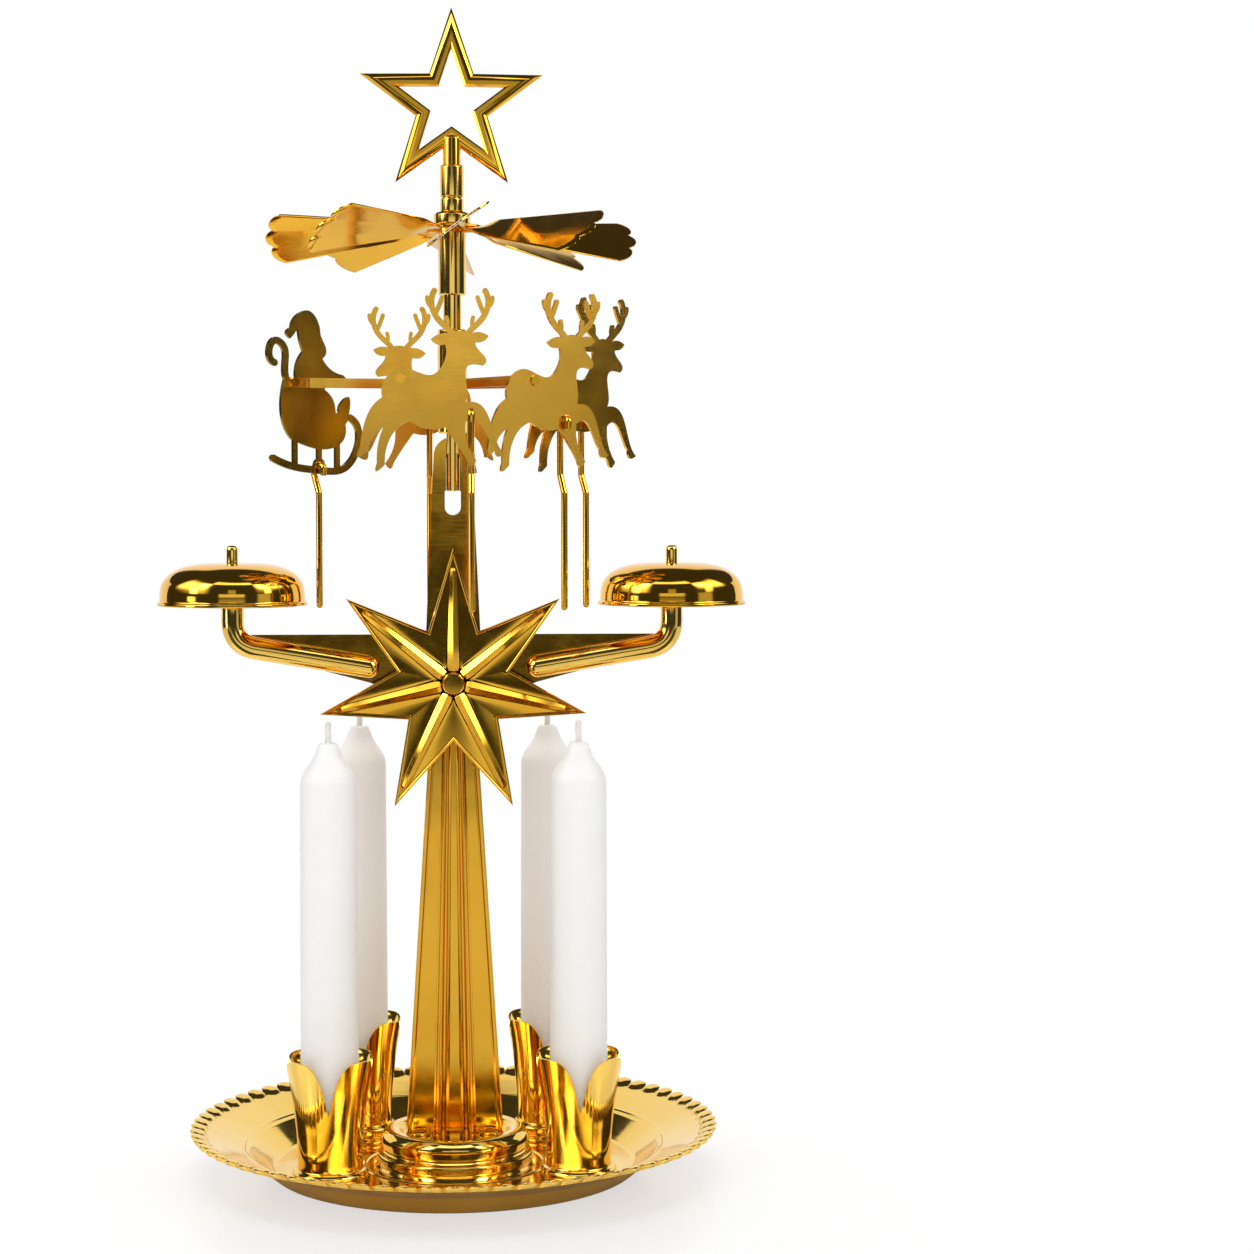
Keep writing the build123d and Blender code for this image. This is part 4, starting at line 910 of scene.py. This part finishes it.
def blade_shell(turn):
    """One blade, with its upper and lower side and the edge that joins them."""
    outward = Vector((math.cos(turn), math.sin(turn), 0))
    along = Vector((-outward.y, outward.x, 0))
    droop = math.radians(BLADE_DROOP)
    far = outward * math.cos(droop) - UP * math.sin(droop)
    lifted = outward * math.sin(droop) + UP * math.cos(droop)
    middle = UP * (ROTOR_HEIGHT + ROTOR_SHEET / 2)
    even = [2 * j / BLADE_COLUMNS - 1 for j in range(BLADE_COLUMNS + 1)]
    columns = [math.sin(math.pi / 2 * c * NEARLY_ONE) * 0.5 + c * 0.5 for c in even]
    rows = [(i / BLADE_ROWS) ** ROW_POWER for i in range(BLADE_ROWS + 1)]
    points = []
    for level in (1, -1):
        for t in rows:
            for c in columns:
                tip_y = BLADE_HALF * c
                x = BLADE_ROOT + (blade_end(tip_y) - BLADE_ROOT) * t
                y = NECK_HALF * c + (tip_y - NECK_HALF * c) * t
                ease = min(1.0, max(0.0, (x - TWIST_START) / TWIST_LENGTH))
                pitch = math.radians(BLADE_PITCH) * (ease * ease * (3 - 2 * ease))
                level_way = along * math.cos(pitch) - lifted * math.sin(pitch)
                normal = lifted * math.cos(pitch) + along * math.sin(pitch)
                share = 1.0 if t < NEARLY_ONE and abs(c) < NEARLY_ONE else EDGE_SHARE
                height = BLADE_CAMBER * (1 - c * c) * t + level * share * ROTOR_SHEET / 2
                points.append(middle + far * x + level_way * y + normal * height)
    per_side = len(rows) * len(columns)
    under = grid_faces(len(rows), len(columns), flip=True)
    faces = grid_faces(len(rows), len(columns)) + [tuple(per_side + i for i in face) for face in under]
    loop = blade_loop(len(rows), len(columns))
    faces += [(a, b, per_side + b, per_side + a) for a, b in zip(loop, loop[1:] + loop[:1])]
    return points, faces


DISC_RADIUS, DISC_EASE = 8.0, 0.2
disc_line = rounded([
    (SLEEVE_BORE, ROTOR_HEIGHT, 0), (DISC_RADIUS - DISC_EASE, ROTOR_HEIGHT, 0),
    (DISC_RADIUS, ROTOR_HEIGHT + 0.15, 0.1), (DISC_RADIUS, ROTOR_TOP - 0.15, 0.1),
    (DISC_RADIUS - DISC_EASE, ROTOR_TOP, 0), (SLEEVE_BORE, ROTOR_TOP, 0),
])
blades = [blade_shell(math.radians(BLADE_START + 360 / BLADES * i)) for i in range(BLADES)]
stand_in("rotor", *merge(lathe(disc_line, segments=96), *blades), sharp_angle=40)

# Cut sheets keep the frame's shapes, with eased edges that catch the light
EASED_EDGE, EASED_ANGLE = 0.12, 40.0
cut_sheets = ["spindle_plate", "cross_arm", "joint_rivets", "figure_rivets", "sleigh"]
cut_sheets += [f"reindeer_{i}" for i in range(1, 5)] + [f"holder_{i}" for i in range(1, 6)]
for name in cut_sheets:
    ease = nodes[name].modifiers.new("eased_edges", "BEVEL")
    ease.width = EASED_EDGE * MM
    ease.segments = 2
    ease.limit_method = "ANGLE"
    ease.angle_limit = math.radians(EASED_ANGLE)
    ease.harden_normals = True


# Stage: camera, pale floor, soft lamps, and a tent and dark cards that only the polished metal sees

MIDDLE = Vector((0, 0, 140))
camera_data = bpy.data.cameras.new("camera")
camera_data.sensor_width = SENSOR_WIDTH
camera_data.lens = FOCAL_PIXELS / PHOTO_SIDE * SENSOR_WIDTH
camera = bpy.data.objects.new("camera", camera_data)
camera.location = Vector((0, -CAMERA_DISTANCE, CAMERA_HEIGHT)) * MM
pan = math.atan((PHOTO_SIDE / 2 - AXIS_PIXEL_X) / FOCAL_PIXELS)
tilt = math.atan((PHOTO_SIDE / 2 - HORIZON_PIXEL_Y) / FOCAL_PIXELS)
camera.rotation_euler = (math.pi / 2 - tilt, 0, -pan)
bpy.context.scene.collection.objects.link(camera)
bpy.context.scene.camera = camera
bpy.context.scene.view_settings.view_transform = "Standard"


def lamp(name, location, size, power):
    """A rectangular soft lamp aimed at the object, with lengths in millimetres and power in watts."""
    data = bpy.data.lights.new(name, "AREA")
    data.shape = "RECTANGLE"
    data.size, data.size_y = size[0] * MM, size[1] * MM
    data.energy = power
    thing = bpy.data.objects.new(name, data)
    thing.location = Vector(location) * MM
    thing.rotation_euler = (MIDDLE - Vector(location)).to_track_quat("-Z", "Y").to_euler()
    thing.visible_camera = False
    thing.visible_glossy = False
    bpy.context.scene.collection.objects.link(thing)


lamp("left_lamp", (-520, -330, 520), (420, 320), 0.65)
lamp("right_lamp", (520, -300, 520), (420, 320), 0.55)
lamp("front_lamp", (0, -760, 240), (360, 300), 1.3)
lamp("top_lamp", (-60, 160, 900), (600, 600), 4.3)
lamp("back_lamp", (60, 640, 420), (520, 420), 1.5)


# Nodes that the stage's materials share


def split_place(tree, place):
    """A place taken apart into X, Y and Z."""
    split = add_node(tree, "ShaderNodeSeparateXYZ")
    tree.links.new(place, split.inputs["Vector"])
    return split.outputs


def sideways_angle(tree, place):
    """Degrees from straight ahead, which is -Y, to the right, for a place taken apart."""
    ahead = sums(tree, "MULTIPLY", place["Y"], -1.0)
    return sums(tree, "MULTIPLY", sums(tree, "ARCTAN2", place["X"], ahead), math.degrees(1))


def soft_step(tree, value, low, high, to_low, to_high):
    """A value mapped from one range to another with smooth ends."""
    node = add_node(tree, "ShaderNodeMapRange", interpolation_type="SMOOTHSTEP", inputs={
        "From Min": low, "From Max": high, "To Min": to_low, "To Max": to_high})
    tree.links.new(value, node.inputs["Value"])
    return node.outputs["Result"]


def soft_window(tree, value, low, high, width):
    """One between two edges and nought outside them, with smooth steps."""
    opens = soft_step(tree, value, low - width / 2, low + width / 2, 0.0, 1.0)
    closes = soft_step(tree, value, high - width / 2, high + width / 2, 1.0, 0.0)
    return sums(tree, "MULTIPLY", opens, closes)


def white_glow(tree, strength):
    """White light of a given strength."""
    glow = add_node(tree, "ShaderNodeEmission", inputs={"Color": (1, 1, 1, 1)})
    tree.links.new(strength, glow.inputs["Strength"])
    return glow.outputs["Emission"]


def stage_mesh(name, points, faces, material):
    """A mesh that stands round the object and isn't part of it, given in millimetres."""
    mesh = bpy.data.meshes.new(name)
    mesh.from_pydata([[c * MM for c in point] for point in points], [], faces)
    mesh.materials.append(material)
    thing = bpy.data.objects.new(name, mesh)
    bpy.context.scene.collection.objects.link(thing)
    return thing


# Tent round the front, and round all sides higher up. Each patch is its brightness, then its
# sideways and upward range in degrees, seen from the object's middle, and the width of its soft edge.
TENT_RADIUS = 850.0
TENT_FOOT, TENT_TOP = -11.0, 90.0
TENT_SIDE, TENT_OPEN = 118.0, 20.0
TENT_BASE = 0.045
TENT_PATCHES = [
    (3.4, -96, -42, 18, 48, 16),
    (3.0, 44, 96, 22, 48, 14),
    (8.0, -60, -44, 32, 46, 10),
    (8.0, 44, 60, 32, 46, 10),
    (6.0, -68, -56, 13, 24, 6),
    (4.0, 56, 68, 15, 24, 6),
    (5.0, -70, -58, -9, 2, 6),
    (2.2, -42, 42, 50, 62, 8),
    (0.85, -20, 20, 3.5, 13, 4),
    (0.42, -6, 6, 14, 21, 3),
    (0.50, 42, 65, -12, 13, 6),
    (0.30, -50, 50, -12, -6.5, 3),
    (0.95, 157, 190, 10, 44, 6),
    (0.95, -190, -157, 10, 44, 6),
]


def make_tent_cloth():
    """Cloth that glows by its patches."""
    material = bpy.data.materials.new("tent_cloth")
    material.use_nodes = True
    tree = material.node_tree
    tree.nodes.clear()
    place = split_place(tree, object_place(tree))
    sideways = sideways_angle(tree, place)
    height = sums(tree, "DIVIDE", place["Z"], TENT_RADIUS * MM)
    upward = sums(tree, "MULTIPLY", sums(tree, "ARCSINE", height, 0.0), math.degrees(1))
    brightness = TENT_BASE
    for level, left, right, low, high, soft in TENT_PATCHES:
        across = soft_window(tree, sideways, left, right, soft)
        patch = sums(tree, "MULTIPLY", across, soft_window(tree, upward, low, high, soft))
        brightness = sums(tree, "ADD", brightness, sums(tree, "MULTIPLY", patch, level))
    surface = add_node(tree, "ShaderNodeOutputMaterial").inputs["Surface"]
    tree.links.new(white_glow(tree, brightness), surface)
    return material


SIDE_STEPS, UP_STEPS = 64, 40
tent_heights = [TENT_FOOT + (TENT_TOP - TENT_FOOT) * i / UP_STEPS for i in range(UP_STEPS + 1)]
tent_sides = [360 * k / SIDE_STEPS - 180 for k in range(SIDE_STEPS)]
tent_points = []
for up in map(math.radians, tent_heights):
    for side in map(math.radians, tent_sides):
        way = (math.cos(up) * math.sin(side), -math.cos(up) * math.cos(side), math.sin(up))
        tent_points.append([TENT_RADIUS * c for c in way])
tent_faces = []
for i, height in enumerate(tent_heights[:-1]):
    for k, side in enumerate(tent_sides):
        if abs(side + 180 / SIDE_STEPS) < TENT_SIDE or height > TENT_OPEN:
            a, b = i * SIDE_STEPS + k, i * SIDE_STEPS + (k + 1) % SIDE_STEPS
            tent_faces.append((a, b, b + SIDE_STEPS, a + SIDE_STEPS))
tent = stage_mesh("tent", tent_points, tent_faces, make_tent_cloth())
tent.location = MIDDLE * MM
tent.visible_camera = False
tent.visible_diffuse = False
tent.visible_shadow = False
tent.visible_transmission = False

# World: white where it is seen, and a weaker light from all sides
WORLD_LIGHT = 0.56
world = bpy.data.worlds.new("studio")
bpy.context.scene.world = world
world.use_nodes = True
sky = world.node_tree
sky.nodes.clear()
ray = add_node(sky, "ShaderNodeLightPath").outputs
seen = sums(sky, "MAXIMUM", ray["Is Camera Ray"], ray["Is Glossy Ray"])
seen = sums(sky, "MAXIMUM", seen, ray["Is Transmission Ray"])
backdrop = add_node(sky, "ShaderNodeBackground", inputs={"Color": (1, 1, 1, 1)})
sky.links.new(spread(sky, seen, 0.0, 1.0, WORLD_LIGHT, 1.0), backdrop.inputs["Strength"])
sky.links.new(backdrop.outputs["Background"], add_node(sky, "ShaderNodeOutputWorld").inputs["Surface"])

# Pale floor: takes the shadow near the tray and runs out into the white background. Metal sees it
# a little darker, with a dark card on each side of the front, given in degrees from straight ahead.
FLOOR_REACH, FLOOR_DROP = 2500.0, 0.05
FLOOR_CLEAR, FLOOR_WHITE = 150.0, 290.0
FLOOR_LIFT = 0.64
CARD_NEAR = 100.0
CARD_START, CARD_END, CARD_SOFT = 30.0, 64.0, 5.0
FLOOR_LOSS, CARD_LOSS = 0.2, 0.72


def make_pale_floor():
    """Floor finish: faint speckle, and white light that takes over with distance."""
    material, tree, shader = principled("pale_floor")
    where = add_node(tree, "ShaderNodeNewGeometry").outputs["Position"]
    flat = add_node(tree, "ShaderNodeVectorMath", operation="MULTIPLY")
    tree.links.new(where, flat.inputs[0])
    flat.inputs[1].default_value = (1, 1, 0)
    length = add_node(tree, "ShaderNodeVectorMath", operation="LENGTH")
    tree.links.new(flat.outputs["Vector"], length.inputs[0])
    reach = length.outputs["Value"]
    fade = soft_step(tree, reach, FLOOR_CLEAR * MM, FLOOR_WHITE * MM, 0.0, 1.0)

    speckle = noise(tree, where, scale=900.0)
    colour = blend_colours(tree, speckle, (0.82, 0.82, 0.82, 1), (0.85, 0.85, 0.85, 1))
    tree.links.new(colour, shader.inputs["Base Color"])
    tree.links.new(spread(tree, speckle, 0.3, 0.7, 0.12, 0.2), shader.inputs["Roughness"])
    shader.inputs["Specular IOR Level"].default_value = 0.45

    turn = sideways_angle(tree, split_place(tree, where))
    left_card = soft_window(tree, turn, -CARD_END, -CARD_START, CARD_SOFT)
    right_card = soft_window(tree, turn, CARD_START, CARD_END, CARD_SOFT)
    beyond = sums(tree, "GREATER_THAN", reach, CARD_NEAR * MM)
    cards = sums(tree, "MULTIPLY", sums(tree, "MAXIMUM", left_card, right_card), beyond)
    loss = sums(tree, "ADD", FLOOR_LOSS, sums(tree, "MULTIPLY", cards, CARD_LOSS))

    ray = add_node(tree, "ShaderNodeLightPath").outputs
    level = sums(tree, "SUBTRACT", 1.0, sums(tree, "MULTIPLY", loss, ray["Is Glossy Ray"]))
    in_view = sums(tree, "MULTIPLY", spread(tree, fade, 0.0, 1.0, FLOOR_LIFT, 1.0), ray["Is Camera Ray"])
    mirrored = sums(tree, "MULTIPLY", sums(tree, "MAXIMUM", fade, cards), ray["Is Glossy Ray"])
    mix = add_node(tree, "ShaderNodeMixShader")
    tree.links.new(sums(tree, "MAXIMUM", in_view, mirrored), mix.inputs["Fac"])
    tree.links.new(shader.outputs["BSDF"], mix.inputs[1])
    tree.links.new(white_glow(tree, level), mix.inputs[2])
    tree.links.new(mix.outputs["Shader"], tree.nodes["Material Output"].inputs["Surface"])
    return material


floor_corners = [(x * FLOOR_REACH, y * FLOOR_REACH, 0) for x, y in ((-1, -1), (1, -1), (1, 1), (-1, 1))]
floor = stage_mesh("floor", floor_corners, [(0, 1, 2, 3)], make_pale_floor())
floor.location.z = -FLOOR_DROP * MM
